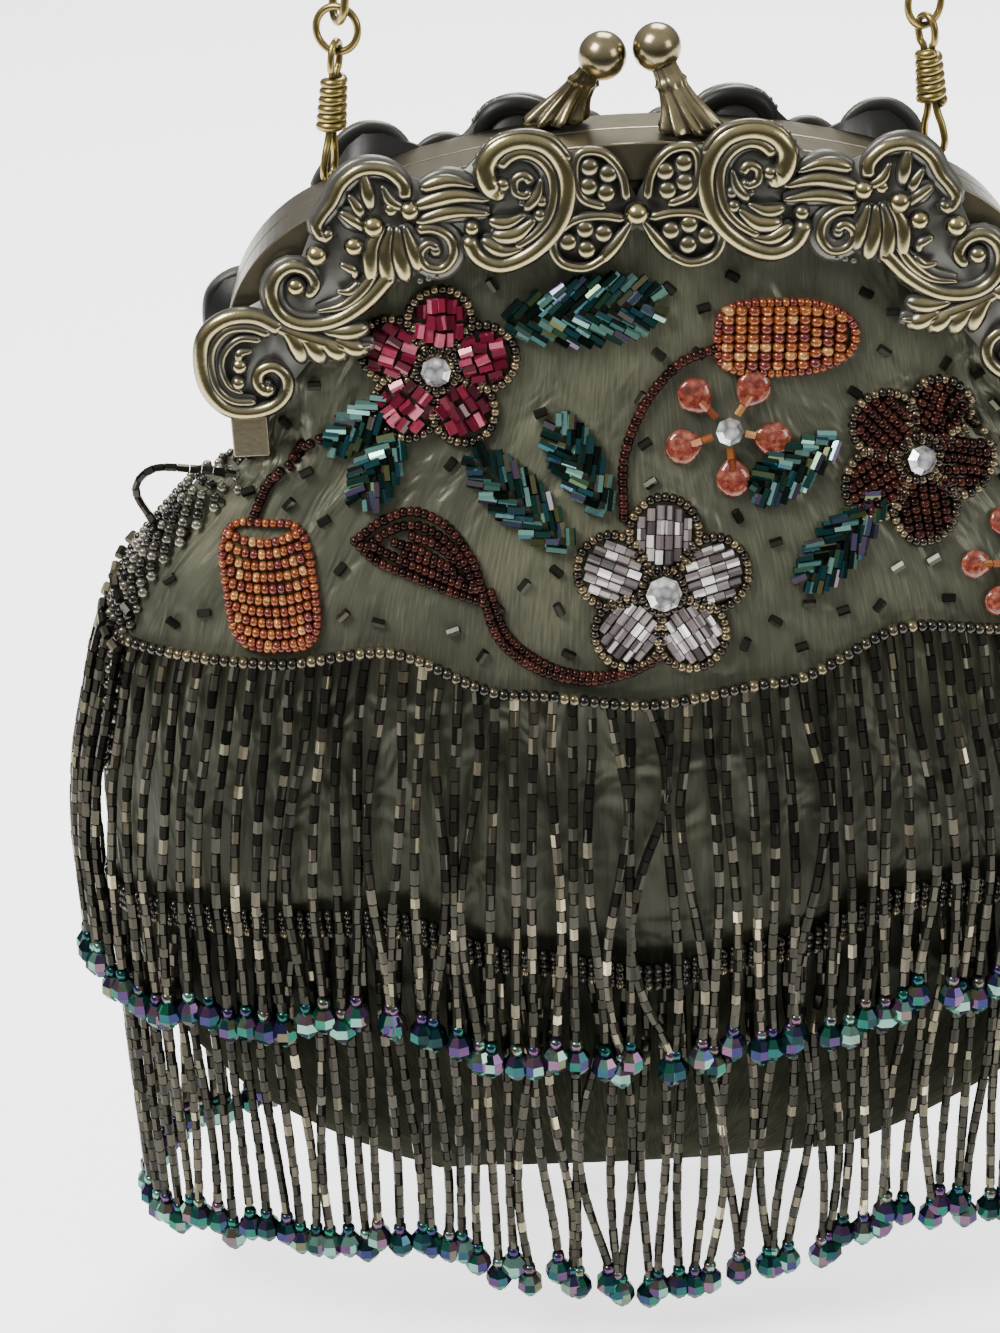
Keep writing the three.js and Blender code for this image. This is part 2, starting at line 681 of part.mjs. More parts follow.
function yokeRing(share, shrink) {
  const top = SECTIONS[0];
  return Array.from({ length: POUCH_COLUMNS }, (_, column) => {
    const angle = columnAngle(column);
    const mouth = mouthPoint(angle);
    const low = outlinePoint(angle, top.halfWidth - shrink, top.halfDepth - shrink, top.z);
    const point = new THREE.Vector3(
      THREE.MathUtils.lerp(mouth.x, low.x, share ** 3.2),
      THREE.MathUtils.lerp(mouth.y, low.y, share ** 1.6),
      THREE.MathUtils.lerp(mouth.z, low.z, share ** 0.8),
    );
    const besideLeg = Math.abs(point.x) > LEG_REACH && point.z > LEG_BOTTOM - 1;
    if (besideLeg) point.y = THREE.MathUtils.clamp(point.y, -LEG_DEPTH, LEG_DEPTH);
    const inward = shrink * (1 - share) + gatherDepth(angle) * Math.sin(Math.PI * share) ** 2;
    const side = Math.abs(Math.cos(angle)) ** 4;
    point.y -= Math.sign(point.y) * Math.min(inward, Math.abs(point.y) * 0.6);
    point.x -= Math.sign(point.x) * shrink * (1 - share) * side;
    return point;
  });
}

function buildPouch() {
  const inside = [...SECTIONS].filter((_, i) => i % 2 === 0).reverse();
  const floor = SECTIONS.at(-1).z + POUCH_WALL;
  const inner = inside.map((s) => pouchRing(s.halfWidth, s.halfDepth, Math.max(s.z, floor), POUCH_WALL));
  const yokeInner = [0.7, 0.4, 0].map((share) => yokeRing(share, POUCH_WALL));
  const yokeOuter = YOKE.map((share) => yokeRing(share, 0));
  const outer = SECTIONS.map((s) => pouchRing(s.halfWidth, s.halfDepth, s.z, 0));
  return skin([...inner, ...yokeInner, ...yokeOuter, ...outer]);
}

const pouch = addPiece(bag, "pouch", buildPouch(), satin);

// Fringe: flat locks of strands, thicker where their drops hang, on a hem band

function hemHeight(hem, x) {
  const far = Math.abs(x);
  const i = Math.max(1, hem.findIndex((row) => row.x >= far));
  const share = (far - hem[i - 1].x) / (hem[i].x - hem[i - 1].x);
  const ease = share * share * (3 - 2 * share);
  return THREE.MathUtils.lerp(hem[i - 1].z, hem[i].z, ease);
}

// A strand never swings back in under the pouch's widest part
const widest = SECTIONS.reduce((a, b) => (b.halfWidth > a.halfWidth ? b : a));

function hangPoint(angle, z, off) {
  const section = z < widest.z ? widest : sectionAt(z);
  return outlinePoint(angle, section.halfWidth + off, section.halfDepth + off, z);
}

function surfacePoint(angle, z, off) {
  const section = sectionAt(z);
  return outlinePoint(angle, section.halfWidth + off, section.halfDepth + off, z);
}

function hemBand(hem, angles) {
  const rings = angles.map((angle) => {
    const z = hemHeight(hem, surfacePoint(angle, hem[0].z, 0).x);
    return [[HEM.near, 1], [HEM.far, 1], [HEM.far, -1], [HEM.near, -1]].map(([off, side]) =>
      surfacePoint(angle, z + (side * HEM.height) / 2, off));
  });
  return skin(rings);
}

// Four-sided lock along a path, with its broad face outwards and its ends sloped like the hem
function lockFrom(path, outward, width, slope = 0) {
  const across = new THREE.Vector3(-outward.y, outward.x, slope).multiplyScalar(width / 2);
  const lockRing = (middle, thick) => [[-1, -1], [1, -1], [1, 1], [-1, 1]].map(([side, face]) =>
    middle.clone().addScaledVector(across, side).addScaledVector(outward, (face * thick) / 2));
  const end = path.at(-1);
  const waist = end.clone().setZ(end.z + LOCK.endHeight);
  return skin([
    ...[...path.slice(0, -1), waist].map((point) => lockRing(point, LOCK.thick)),
    lockRing(end, LOCK.endThick),
  ]);
}

function outwardAt(angle, z) {
  const a = hangPoint(angle - 0.02, z, 0);
  const b = hangPoint(angle + 0.02, z, 0);
  return new THREE.Vector3(b.y - a.y, a.x - b.x, 0).normalize();
}

function spread(from, to, count) {
  return Array.from({ length: count }, (_, i) => THREE.MathUtils.lerp(from, to, i / (count - 1)));
}

// Heights and offsets of a lock that leaves the hem, swings clear of the pouch's widest part and hangs
function hangPath(top, rootOff, hangOff) {
  const shoulder = top > widest.z ? [{ z: widest.z, off: hangOff }] : [];
  return [{ z: top, off: rootOff }, ...shoulder, { z: top - FRINGE_LENGTH, off: hangOff }];
}

function buildFringe(hem, { startAngle, locks, rootOff, hangOff }) {
  const edge = THREE.MathUtils.degToRad(startAngle);
  const band = hemBand(hem, spread(edge, Math.PI - edge, 17));
  const pieces = [band];
  const angles = spread(edge + 0.14, Math.PI - edge - 0.14, locks);
  const halfStep = (angles[1] - angles[0]) / 2;
  for (const angle of angles) {
    const top = hemHeight(hem, surfacePoint(angle, hem[0].z, 0).x);
    const path = hangPath(top, rootOff, hangOff).map(({ z, off }) => hangPoint(angle, z, off));
    path[0] = surfacePoint(angle, top, rootOff);
    const [right, left] = [-halfStep, halfStep].map((turn) => surfacePoint(angle + turn, top, 0));
    const room = right.distanceTo(left);
    const slope = (hemHeight(hem, right.x) - hemHeight(hem, left.x)) / room;
    pieces.push(lockFrom(path, outwardAt(angle, top), LOCK.cover * room, slope));
  }
  return join(pieces);
}

const upperTier = { startAngle: 11, locks: 9, rootOff: 2.0, hangOff: 5.8 };
const lowerTier = { startAngle: 3, locks: 8, rootOff: 2.0, hangOff: 1.8 };
const upperFringe = buildFringe(UPPER_HEM, upperTier);
const lowerFringe = buildFringe(LOWER_HEM, lowerTier);
addPiece(bag, "fringe_upper_front", upperFringe, smokeBead);
addPiece(bag, "fringe_upper_back", turnToBack(upperFringe), smokeBead);
addPiece(bag, "fringe_lower_front", lowerFringe, smokeBead);
addPiece(bag, "fringe_lower_back", turnToBack(lowerFringe), smokeBead);

// Braid over a side seam, with a lock of its own
const BRAID = { top: -67, bottom: -146, halfWidth: 4, near: 0.4, far: 2.2, root: -97 };

function buildBraid() {
  const between = SECTIONS.map(({ z }) => z).filter((z) => z < BRAID.top && z > BRAID.bottom);
  const rings = [BRAID.top, ...between, BRAID.bottom].map((z) => {
    const { halfWidth } = sectionAt(z);
    return [[BRAID.near, -1], [BRAID.far, -1], [BRAID.far, 1], [BRAID.near, 1]].map(([off, side]) =>
      new THREE.Vector3(halfWidth + off, side * BRAID.halfWidth, z));
  });
  const outward = new THREE.Vector3(1, 0, 0);
  const path = hangPath(BRAID.root, upperTier.rootOff, upperTier.hangOff);
  const lock = lockFrom(path.map(({ z, off }) => hangPoint(0, z, off)), outward, LOCK.braidWidth);
  return join([skin(rings), lock]);
}

const braid = buildBraid();
addPiece(bag, "side_braid_right", braid, smokeBead);
addPiece(bag, "side_braid_left", turnToBack(braid), smokeBead);

// Bead flowers, buds, leaves and stems, laid on the front of the pouch

const PAD = { rim: 0.8, crown: 1.7, seat: 0.7 };
const FLOWERS = [
  { name: "red", x: -38, z: -41.5, radius: 14.5, stone: 2.9, color: 0x9c2338 },
  { name: "orange", x: 16.6, z: -55, radius: 11, stone: 2.7, color: 0xb0552c },
  { name: "brown", x: 53.4, z: -63, radius: 15, stone: 2.9, color: 0x3a211c },
  { name: "lilac", x: 3.1, z: -83.5, radius: 15.5, stone: 3.5, color: 0x9c8a8c },
  { name: "orange_right", x: 72, z: -84, radius: 8.5, stone: 2.4, color: 0xb0552c },
];
const BUDS = [
  { name: "amber_left", x: -72.3, z: -82, halfLength: 11.5, halfWidth: 9.5, turn: 88, color: 0x8a4a22 },
  { name: "amber_right", x: 28.3, z: -38.5, halfLength: 13.2, halfWidth: 7, turn: -3, color: 0x8a4a22 },
  { name: "brown", x: -43.5, z: -76, halfLength: 12.5, halfWidth: 5.4, turn: -24, color: 0x35211a },
];
const LEAVES = [
  { name: "top", x: -9.5, z: -32, length: 27, width: 9, turn: 4 },
  { name: "left_a", x: -58, z: -54, length: 11, width: 4.5, turn: 65 },
  { name: "left_b", x: -50.5, z: -60.5, length: 15, width: 5.5, turn: 62 },
  { name: "middle_a", x: -24, z: -66, length: 24, width: 7, turn: -47 },
  { name: "middle_b", x: -12.5, z: -59.5, length: 16, width: 6.5, turn: -60 },
  { name: "right_a", x: 30.5, z: -62.5, length: 15, width: 6, turn: 33 },
  { name: "right_b", x: 36.6, z: -79.2, length: 15, width: 6.5, turn: 42 },
];
const STEMS = [
  { name: "right", route: [[12.5, -41], [2.5, -48], [-3.2, -59], [-3.6, -66]] },
  { name: "left", route: [[-74, -69], [-70.5, -62], [-64, -56]] },
  { name: "brown", route: [[-31, -84], [-28, -92], [-20.5, -98.5], [-12, -100.6], [-5, -99.6]] },
];
const STEM_RADIUS = 0.9;

pouch.updateMatrixWorld();
const caster = new THREE.Raycaster();
pouch.material.side = THREE.DoubleSide;

// Where a needle pushed in from the front meets the cloth
function clothAt(x, z) {
  const from = new THREE.Vector3(x, -100, z);
  caster.set(pouch.localToWorld(from), new THREE.Vector3(0, 1, 0));
  const [hit] = caster.intersectObject(pouch);
  return { y: hit.point.y, normal: hit.face.normal };
}

// Lays a flat piece on the cloth: its y becomes the height above it
function drape(geometry) {
  const position = geometry.getAttribute("position");
  for (let i = 0; i < position.count; i++) {
    const cloth = clothAt(position.getX(i), position.getZ(i));
    position.setY(i, cloth.y - PAD.seat - position.getY(i));
  }
  return turnFacesOver(geometry);
}

// Heights grow towards -Y, so the faces of a draped piece turn over
function turnFacesOver(geometry) {
  geometry.setIndex([...geometry.index.array].reverse());
  return geometry;
}

// Low cushion over an outline given by its reach at each angle
function cushion({ x, z }, sides, reachAt) {
  const ring = (share, height) => Array.from({ length: sides }, (_, k) => {
    const reach = reachAt((2 * Math.PI * k) / sides);
    return new THREE.Vector3(x + reach.x * share, height, z + reach.y * share);
  });
  return drape(skin([ring(0.5, 0), ring(1, 0), ring(1, PAD.rim), ring(0.55, PAD.crown)]));
}

function turned(x, y, degrees) {
  return new THREE.Vector2(x, y).rotateAround(new THREE.Vector2(), THREE.MathUtils.degToRad(degrees));
}

function buildFlower(flower) {
  return cushion(flower, 20, (angle) => {
    const petal = Math.abs(Math.cos(2.5 * (angle - Math.PI / 2))) ** 0.6;
    const reach = flower.radius * (0.66 + 0.34 * petal);
    return new THREE.Vector2(reach * Math.cos(angle), reach * Math.sin(angle));
  });
}

function buildBud(bud) {
  return cushion(bud, 10, (angle) => {
    const cos = Math.cos(angle);
    const sin = Math.sin(angle);
    const x = bud.halfLength * Math.sign(cos) * Math.abs(cos) ** 0.7;
    return turned(x, bud.halfWidth * Math.sign(sin) * Math.abs(sin) ** 0.7, bud.turn);
  });
}

function buildLeaf(leaf) {
  return cushion(leaf, 8, (angle) => {
    const cos = Math.cos(angle);
    const taper = 1 - 0.35 * cos;
    return turned((leaf.length / 2) * cos, (leaf.width / 2) * taper * Math.sin(angle), leaf.turn);
  });
}

function buildStem({ route }) {
  const points = route.map(([x, z]) => new THREE.Vector3(x, STEM_RADIUS * 0.7, z));
  const curve = new THREE.CatmullRomCurve3(points);
  return drape(planarTube(curve.getPoints(2 * route.length), STEM_RADIUS, 4));
}

// Cut stone with a table, eight crown facets and a flat back
function buildStone(radius) {
  const profile = [[0, 0], [0.85, 0], [1, 0.22], [0.58, 0.62], [0, 0.62]]
    .map(([across, up]) => new THREE.Vector2(across * radius, up * radius));
  return new THREE.LatheGeometry(profile, 8).rotateX(Math.PI / 2);
}

for (const flower of FLOWERS) {
  const finish = { color: flower.color, roughness: 0.25, metalness: 0.1 };
  addPiece(bag, `flower_${flower.name}`, buildFlower(flower), finish);
  const stone = addPiece(bag, `stone_${flower.name}`, buildStone(flower.stone), crystal);
  const { y, normal } = clothAt(flower.x, flower.z);
  stone.quaternion.setFromUnitVectors(new THREE.Vector3(0, 0, 1), normal);
  stone.position.set(flower.x, y, flower.z).addScaledVector(normal, PAD.seat + PAD.crown + GAP);
}
for (const bud of BUDS) {
  addPiece(bag, `bud_${bud.name}`, buildBud(bud), { color: bud.color, roughness: 0.3, metalness: 0.1 });
}
for (const leaf of LEAVES) {
  addPiece(bag, `leaf_${leaf.name}`, buildLeaf(leaf), { color: 0x2c4a48, roughness: 0.25, metalness: 0.3 });
}
for (const stem of STEMS) {
  addPiece(bag, `stem_${stem.name}`, buildStem(stem), { color: 0x4a2f22, roughness: 0.4 });
}

const handbag = new THREE.Group();
handbag.add(bag);

export default handbag;
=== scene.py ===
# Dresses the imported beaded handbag: antique brass, olive satin, and beads set one by one.
# Shapes are worked out in millimetres from the middle of the frame's top, then put into the row in metres.
import math

import bmesh
import bpy
import numpy as np
from mathutils import Matrix, Vector, noise
from mathutils.bvhtree import BVHTree


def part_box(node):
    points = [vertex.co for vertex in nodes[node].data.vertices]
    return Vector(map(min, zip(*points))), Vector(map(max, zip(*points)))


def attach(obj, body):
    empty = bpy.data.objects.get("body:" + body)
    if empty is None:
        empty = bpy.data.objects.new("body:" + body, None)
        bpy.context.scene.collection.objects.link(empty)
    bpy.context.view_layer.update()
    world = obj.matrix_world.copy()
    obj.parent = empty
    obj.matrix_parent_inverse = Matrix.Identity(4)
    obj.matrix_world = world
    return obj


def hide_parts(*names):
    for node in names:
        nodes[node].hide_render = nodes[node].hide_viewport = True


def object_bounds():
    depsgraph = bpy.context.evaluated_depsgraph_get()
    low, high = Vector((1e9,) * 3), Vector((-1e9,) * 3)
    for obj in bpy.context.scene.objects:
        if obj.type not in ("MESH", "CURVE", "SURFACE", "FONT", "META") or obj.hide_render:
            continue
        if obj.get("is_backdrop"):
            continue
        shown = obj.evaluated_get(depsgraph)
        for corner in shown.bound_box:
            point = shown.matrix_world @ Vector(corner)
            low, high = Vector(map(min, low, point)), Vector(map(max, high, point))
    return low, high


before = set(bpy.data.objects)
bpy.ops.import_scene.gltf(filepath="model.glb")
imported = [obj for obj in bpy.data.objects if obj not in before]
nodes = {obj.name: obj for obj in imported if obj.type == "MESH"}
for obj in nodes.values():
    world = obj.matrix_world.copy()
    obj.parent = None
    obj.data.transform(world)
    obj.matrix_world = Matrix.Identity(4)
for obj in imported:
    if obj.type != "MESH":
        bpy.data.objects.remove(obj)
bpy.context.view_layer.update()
mm = 0.001
railLow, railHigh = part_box("rail_back")
frameTop = railHigh.z  # the origin is the chain's apex, so this is below zero
frameHalf = railHigh.x / mm
legBottom = (railLow.z - frameTop) / mm
rng = np.random.default_rng(11)
print("frame loaded", len(nodes), "nodes")


# common helpers

def hexColour(text, alpha=1.0):
    channels = [int(text[i:i + 2], 16) / 255 for i in (1, 3, 5)]
    linear = [c / 12.92 if c <= 0.04045 else ((c + 0.055) / 1.055) ** 2.4 for c in channels]
    return (*linear, alpha)


def fillInputs(tree, node, inputs):
    # a socket is linked, and anything else is a value
    for name, value in inputs.items():
        if isinstance(value, bpy.types.NodeSocket):
            tree.links.new(value, node.inputs[name])
        else:
            node.inputs[name].default_value = value


def addNode(tree, kind, settings=None, inputs=None, stops=()):
    node = tree.nodes.new(kind)
    for name, value in (settings or {}).items():
        setattr(node, name, value)
    fillInputs(tree, node, inputs or {})
    if stops:  # of a colour ramp, which starts with two
        elements = node.color_ramp.elements
        while len(elements) < len(stops):
            elements.new(0.5)
        for element, (place, colour) in zip(elements, stops):
            element.position = place
            element.color = hexColour(colour)
    return node


def startMaterial(name):
    material = bpy.data.materials.new(name)
    material.use_nodes = True
    tree = material.node_tree
    return material, tree, tree.nodes["Principled BSDF"]


def seat(mesh, name, material, replaced=(), smooth=True):
    # puts a millimetre mesh into the row's frame and lets it ride on the bag
    mesh.transform(Matrix.Translation((0, 0, frameTop)) @ Matrix.Scale(mm, 4))
    mesh.polygons.foreach_set("use_smooth", [smooth] * len(mesh.polygons))
    mesh.materials.clear()
    mesh.materials.append(material)
    piece = bpy.data.objects.new(name, mesh)
    bpy.context.scene.collection.objects.link(piece)
    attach(piece, "root")
    if replaced:
        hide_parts(*replaced)
    return piece


def finishNode(name, material):
    # a solid that is shown as it is
    surface = nodes[name].data.materials
    surface.clear()
    surface.append(material)


def fromBmesh(bm, name):
    mesh = bpy.data.meshes.new(name)
    bm.to_mesh(mesh)
    bm.free()
    return mesh


def seatShape(bm, name, material, replaced=(), smooth=True):
    return seat(fromBmesh(bm, name), name, material, replaced, smooth)


def bounded(value):
    return min(1.0, max(0.0, value))


def runLengths(points):
    # distance along a route at each of its points
    return np.concatenate([[0], np.cumsum(np.linalg.norm(np.diff(points, axis=0), axis=1))])


def pointAlong(route, run, distance):
    return np.array([np.interp(distance, run, column) for column in route.T])


def smoothRoute(points, count):
    # a curve through the points, at even distances
    points = np.array(points, float)
    spread = runLengths(points)
    padded = np.concatenate([[2 * points[0] - points[1]], points, [2 * points[-1] - points[-2]]])
    route = []
    for d in np.linspace(0, spread[-1], count):
        i = int(np.clip(np.searchsorted(spread, d) - 1, 0, len(points) - 2))
        t = (d - spread[i]) / (spread[i + 1] - spread[i])
        p0, p1, p2, p3 = padded[i:i + 4]
        route.append(0.5 * (2 * p1 + (p2 - p0) * t + (2 * p0 - 5 * p1 + 4 * p2 - p3) * t * t
                            + (3 * p1 - p0 - 3 * p2 + p3) * t ** 3))
    return np.array(route)


def bendWires(wires, roundness=2):
    # round wire along each route; a wire is (points, radius at each point, closed)
    curve = bpy.data.curves.new("wire", "CURVE")
    curve.dimensions = "3D"
    curve.bevel_depth = 1.0
    curve.bevel_resolution = roundness
    curve.use_fill_caps = True
    for points, radii, closed in wires:
        spline = curve.splines.new("POLY")
        spline.points.add(len(points) - 1)
        spline.points.foreach_set("co", np.column_stack([points, np.ones(len(points))]).ravel())
        spline.points.foreach_set("radius", np.broadcast_to(radii, len(points)).astype(float))
        spline.use_cyclic_u = closed
    holder = bpy.data.objects.new("wire", curve)
    mesh = bpy.data.meshes.new_from_object(holder)
    bm = bmesh.new()
    bm.from_mesh(mesh)
    bpy.data.objects.remove(holder)
    bpy.data.curves.remove(curve)
    bpy.data.meshes.remove(mesh)
    bmesh.ops.remove_doubles(bm, verts=bm.verts, dist=1e-4)
    bmesh.ops.recalc_face_normals(bm, faces=bm.faces)
    return bm


def beadShape(bm):
    # vertex places and face corners of one bead, about 1 mm in radius, with its thread hole along Z
    bm.verts.index_update()
    places = np.array([v.co for v in bm.verts])
    corners = [[v.index for v in face.verts] for face in bm.faces]
    bm.free()
    return places, corners


def strewBeads(name, shape, beads, material, replaced=(), smooth=False, jitter=0.12):
    # copies one bead to many places; a bead is (centre, thread direction, (width, width, length), tone)
    places, corners = shape
    centres = np.array([bead[0] for bead in beads], float)
    along = np.array([bead[1] for bead in beads], float)
    sizes = np.array([bead[2] for bead in beads], float)
    along /= np.linalg.norm(along, axis=1)[:, None]
    level = np.where(np.abs(along[:, 1:2]) > 0.9, [[1.0, 0, 0]], [[0, 1.0, 0]])
    across = np.cross(level, along)
    across /= np.linalg.norm(across, axis=1)[:, None]
    up = np.cross(along, across)
    turn = rng.uniform(0, 2 * math.pi, len(beads))[:, None]  # each bead is turned its own way on the thread
    across, up = across * np.cos(turn) + up * np.sin(turn), up * np.cos(turn) - across * np.sin(turn)
    scaled = places[None] * sizes[:, None, :]
    vertices = (centres[:, None] + scaled[..., 0:1] * across[:, None] + scaled[..., 1:2] * up[:, None]
                + scaled[..., 2:3] * along[:, None]).reshape(-1, 3)
    offsets = np.arange(len(beads))[:, None] * len(places)
    loops = np.concatenate([np.array(c) for c in corners])
    starts = np.cumsum([0] + [len(c) for c in corners[:-1]])
    mesh = bpy.data.meshes.new(name)
    mesh.vertices.add(len(vertices))
    mesh.vertices.foreach_set("co", vertices.ravel())
    mesh.loops.add(len(loops) * len(beads))
    mesh.loops.foreach_set("vertex_index", (loops[None] + offsets).ravel())
    mesh.polygons.add(len(corners) * len(beads))
    firsts = np.arange(len(beads))[:, None] * len(loops)
    mesh.polygons.foreach_set("loop_start", (starts[None] + firsts).ravel())
    mesh.update(calc_edges=True)
    tone = mesh.attributes.new("tone", "FLOAT", "FACE")
    tones = np.repeat([float(bead[3]) for bead in beads], len(corners))
    tone.data.foreach_set("value", np.clip(tones + rng.normal(0, jitter, len(tones)), 0, 1))
    return seat(mesh, name, material, replaced, smooth)


# materials

def antiqueBrass(name, recess, middle, edge, roughness, levels=None):
    # brass, blackened and then rubbed: bright on what stands up and dark in the hollows
    # levels are a casting's reverse, plate and top, in millimetres from the middle of the frame
    material, tree, bsdf = startMaterial(name)
    place = addNode(tree, "ShaderNodeTexCoord")
    stain = addNode(tree, "ShaderNodeTexNoise", inputs={
        "Vector": place.outputs["Object"], "Scale": 1 / (4 * mm), "Detail": 5.0, "Roughness": 0.65})
    hollow = addNode(tree, "ShaderNodeAmbientOcclusion", {"samples": 5}, {"Distance": 2.2 * mm})
    rubbed = hollow.outputs["AO"]
    if levels:  # a casting is rubbed by its height above the plate, and its reverse is blackened and darkened further by painted shade, as it faces away from the light
        parts = addNode(tree, "ShaderNodeSeparateXYZ", inputs={"Vector": place.outputs["Object"]})
        depth = addNode(tree, "ShaderNodeMath", {"operation": "ABSOLUTE"}, {0: parts.outputs["Y"]})
        height = addNode(tree, "ShaderNodeMapRange", inputs={
            "Value": depth.outputs[0], "From Min": levels[1] * mm, "From Max": levels[2] * mm})
        both = addNode(tree, "ShaderNodeMath", {"operation": "MULTIPLY"}, {
            0: height.outputs["Result"], 1: hollow.outputs["AO"]})
        rubbed = both.outputs[0]
    part = addNode(tree, "ShaderNodeMath", {"operation": "MULTIPLY"}, {0: rubbed, 1: 0.72})
    worn = addNode(tree, "ShaderNodeMath", {"operation": "MULTIPLY_ADD"}, {
        0: stain.outputs["Fac"], 1: 0.5, 2: part.outputs[0]})
    ramp = addNode(tree, "ShaderNodeValToRGB", inputs={"Fac": worn.outputs[0]}, stops=[
        (0.3, recess), (0.68, middle), (0.98, edge)])
    colour = ramp.outputs["Color"]
    # painted shade over real blackening: the reverse of the casting is darkened to an eighth
    if levels:
        reverse = addNode(tree, "ShaderNodeMapRange", inputs={
            "Value": depth.outputs[0], "From Min": levels[0] * mm, "From Max": levels[1] * mm,
            "To Min": 0.12})
        darker = addNode(tree, "ShaderNodeMix", {"data_type": "RGBA", "blend_type": "MULTIPLY"}, {
            "Factor": 1.0, "A": colour, "B": reverse.outputs["Result"]})
        colour = darker.outputs["Result"]
    # the blackened hollows are dull, the rubbed metal is bare
    bare = addNode(tree, "ShaderNodeMapRange", inputs={
        "Value": worn.outputs[0], "From Min": 0.3, "From Max": 0.75, "To Min": 0.55, "To Max": 1.0})
    shine = addNode(tree, "ShaderNodeMapRange", inputs={
        "Value": worn.outputs[0], "From Min": 0.3, "From Max": 0.9,
        "To Min": roughness + 0.2, "To Max": roughness})
    pits = addNode(tree, "ShaderNodeTexNoise", inputs={
        "Vector": place.outputs["Object"], "Scale": 1 / (0.8 * mm), "Detail": 3.0})
    bump = addNode(tree, "ShaderNodeBump", inputs={
        "Height": pits.outputs["Fac"], "Strength": 0.15, "Distance": 0.15 * mm})
    fillInputs(tree, bsdf, {
        "Base Color": colour, "Metallic": bare.outputs["Result"], "Roughness": shine.outputs["Result"],
        "Normal": bump.outputs["Normal"]})
    return material


def oliveSatin():
    # silk satin: long floats give a soft shine, with a fine upright line of threads
    material, tree, bsdf = startMaterial("silk satin olive")
    cloth = addNode(tree, "ShaderNodeUVMap", {"uv_map": "cloth"})
    place = addNode(tree, "ShaderNodeTexCoord")
    # real thread 0.12 mm, drawn at 0.5 mm so that it shows
    fine = addNode(tree, "ShaderNodeMapping", inputs={
        "Vector": cloth.outputs["UV"], "Scale": (2.4, 0.14, 1.0)})
    thread = addNode(tree, "ShaderNodeTexNoise", inputs={
        "Vector": fine.outputs["Vector"], "Scale": 1.0, "Detail": 3.0, "Roughness": 0.6})
    cloud = addNode(tree, "ShaderNodeTexNoise", inputs={
        "Vector": place.outputs["Object"], "Scale": 1 / (30 * mm), "Detail": 4.0})
    part = addNode(tree, "ShaderNodeMath", {"operation": "MULTIPLY"}, {0: cloud.outputs["Fac"], 1: 0.6})
    mixed = addNode(tree, "ShaderNodeMath", {"operation": "MULTIPLY_ADD"}, {
        0: thread.outputs["Fac"], 1: 0.4, 2: part.outputs[0]})
    ramp = addNode(tree, "ShaderNodeValToRGB", inputs={"Fac": mixed.outputs[0]}, stops=[
        (0.3, "#272821"), (0.5, "#3f4035"), (0.7, "#63634f")])
    # painted shadow: the cloth is darker under the fringe, where the strands shade it, and duller there
    parts = addNode(tree, "ShaderNodeSeparateXYZ", inputs={"Vector": place.outputs["Object"]})
    depth = addNode(tree, "ShaderNodeMapRange", inputs={
        "Value": parts.outputs["Z"], "From Min": frameTop - 190 * mm, "From Max": frameTop - 106 * mm})
    # painted shadow of the fringe: grey below the hem, grading to white at the hem
    fringeShadow = addNode(tree, "ShaderNodeValToRGB", inputs={"Fac": depth.outputs["Result"]}, stops=[
        (0.0, "#b8b8b8"), (0.8, "#b0b0b0"), (1.0, "#ffffff")])
    shade = addNode(tree, "ShaderNodeMix", {"data_type": "RGBA", "blend_type": "MULTIPLY"}, {
        "Factor": 1.0, "A": ramp.outputs["Color"], "B": fringeShadow.outputs["Color"]})
    gloss = addNode(tree, "ShaderNodeMapRange", inputs={
        "Value": depth.outputs["Result"], "From Min": 0.1, "From Max": 1.0, "To Max": 0.85})
    sheen = addNode(tree, "ShaderNodeMath", {"operation": "MULTIPLY"}, {
        0: gloss.outputs["Result"], 1: 0.5})
    # creases about 9 mm apart and 16 mm long
    soft = addNode(tree, "ShaderNodeMapping", inputs={
        "Vector": cloth.outputs["UV"], "Scale": (1 / 9, 1 / 16, 1.0)})
    wrinkle = addNode(tree, "ShaderNodeTexNoise", inputs={
        "Vector": soft.outputs["Vector"], "Scale": 1.0, "Detail": 2.0, "Distortion": 0.6})
    waves = addNode(tree, "ShaderNodeBump", inputs={
        "Height": wrinkle.outputs["Fac"], "Strength": 0.85, "Distance": 2.2 * mm})
    bump = addNode(tree, "ShaderNodeBump", inputs={
        "Height": thread.outputs["Fac"], "Strength": 0.22, "Distance": 0.2 * mm,
        "Normal": waves.outputs["Normal"]})
    fillInputs(tree, bsdf, {
        "Base Color": shade.outputs["Result"], "Roughness": 0.33,
        "Specular IOR Level": gloss.outputs["Result"], "Specular Tint": hexColour("#d8d8bc"),
        "Sheen Weight": sheen.outputs[0], "Sheen Roughness": 0.3, "Sheen Tint": hexColour("#b9b99c"),
        "Normal": bump.outputs["Normal"]})
    return material


def beadGlass(name, stops, roughness=0.12, metallic=0.0, coat=0.3, through=0.0, glint="#ffffff", streaks=0.1):
    # pressed glass with a lustre: each face of each bead has its own tone, and the shine at its rim is tinted
    material, tree, bsdf = startMaterial(name)
    tone = addNode(tree, "ShaderNodeAttribute", {"attribute_name": "tone"})
    place = addNode(tree, "ShaderNodeTexCoord")
    streak = addNode(tree, "ShaderNodeTexNoise", inputs={
        "Vector": place.outputs["Object"], "Scale": 1 / (1.2 * mm), "Detail": 2.0})
    shifted = addNode(tree, "ShaderNodeMath", {"operation": "MULTIPLY_ADD"}, {
        0: streak.outputs["Fac"], 1: streaks, 2: tone.outputs["Fac"]})
    ramp = addNode(tree, "ShaderNodeValToRGB", inputs={"Fac": shifted.outputs[0]}, stops=stops)
    fillInputs(tree, bsdf, {
        "Base Color": ramp.outputs["Color"], "Roughness": roughness, "Metallic": metallic,
        "Coat Weight": coat, "Coat Roughness": 0.05, "Transmission Weight": through,
        "Specular Tint": hexColour(glint)})
    return material


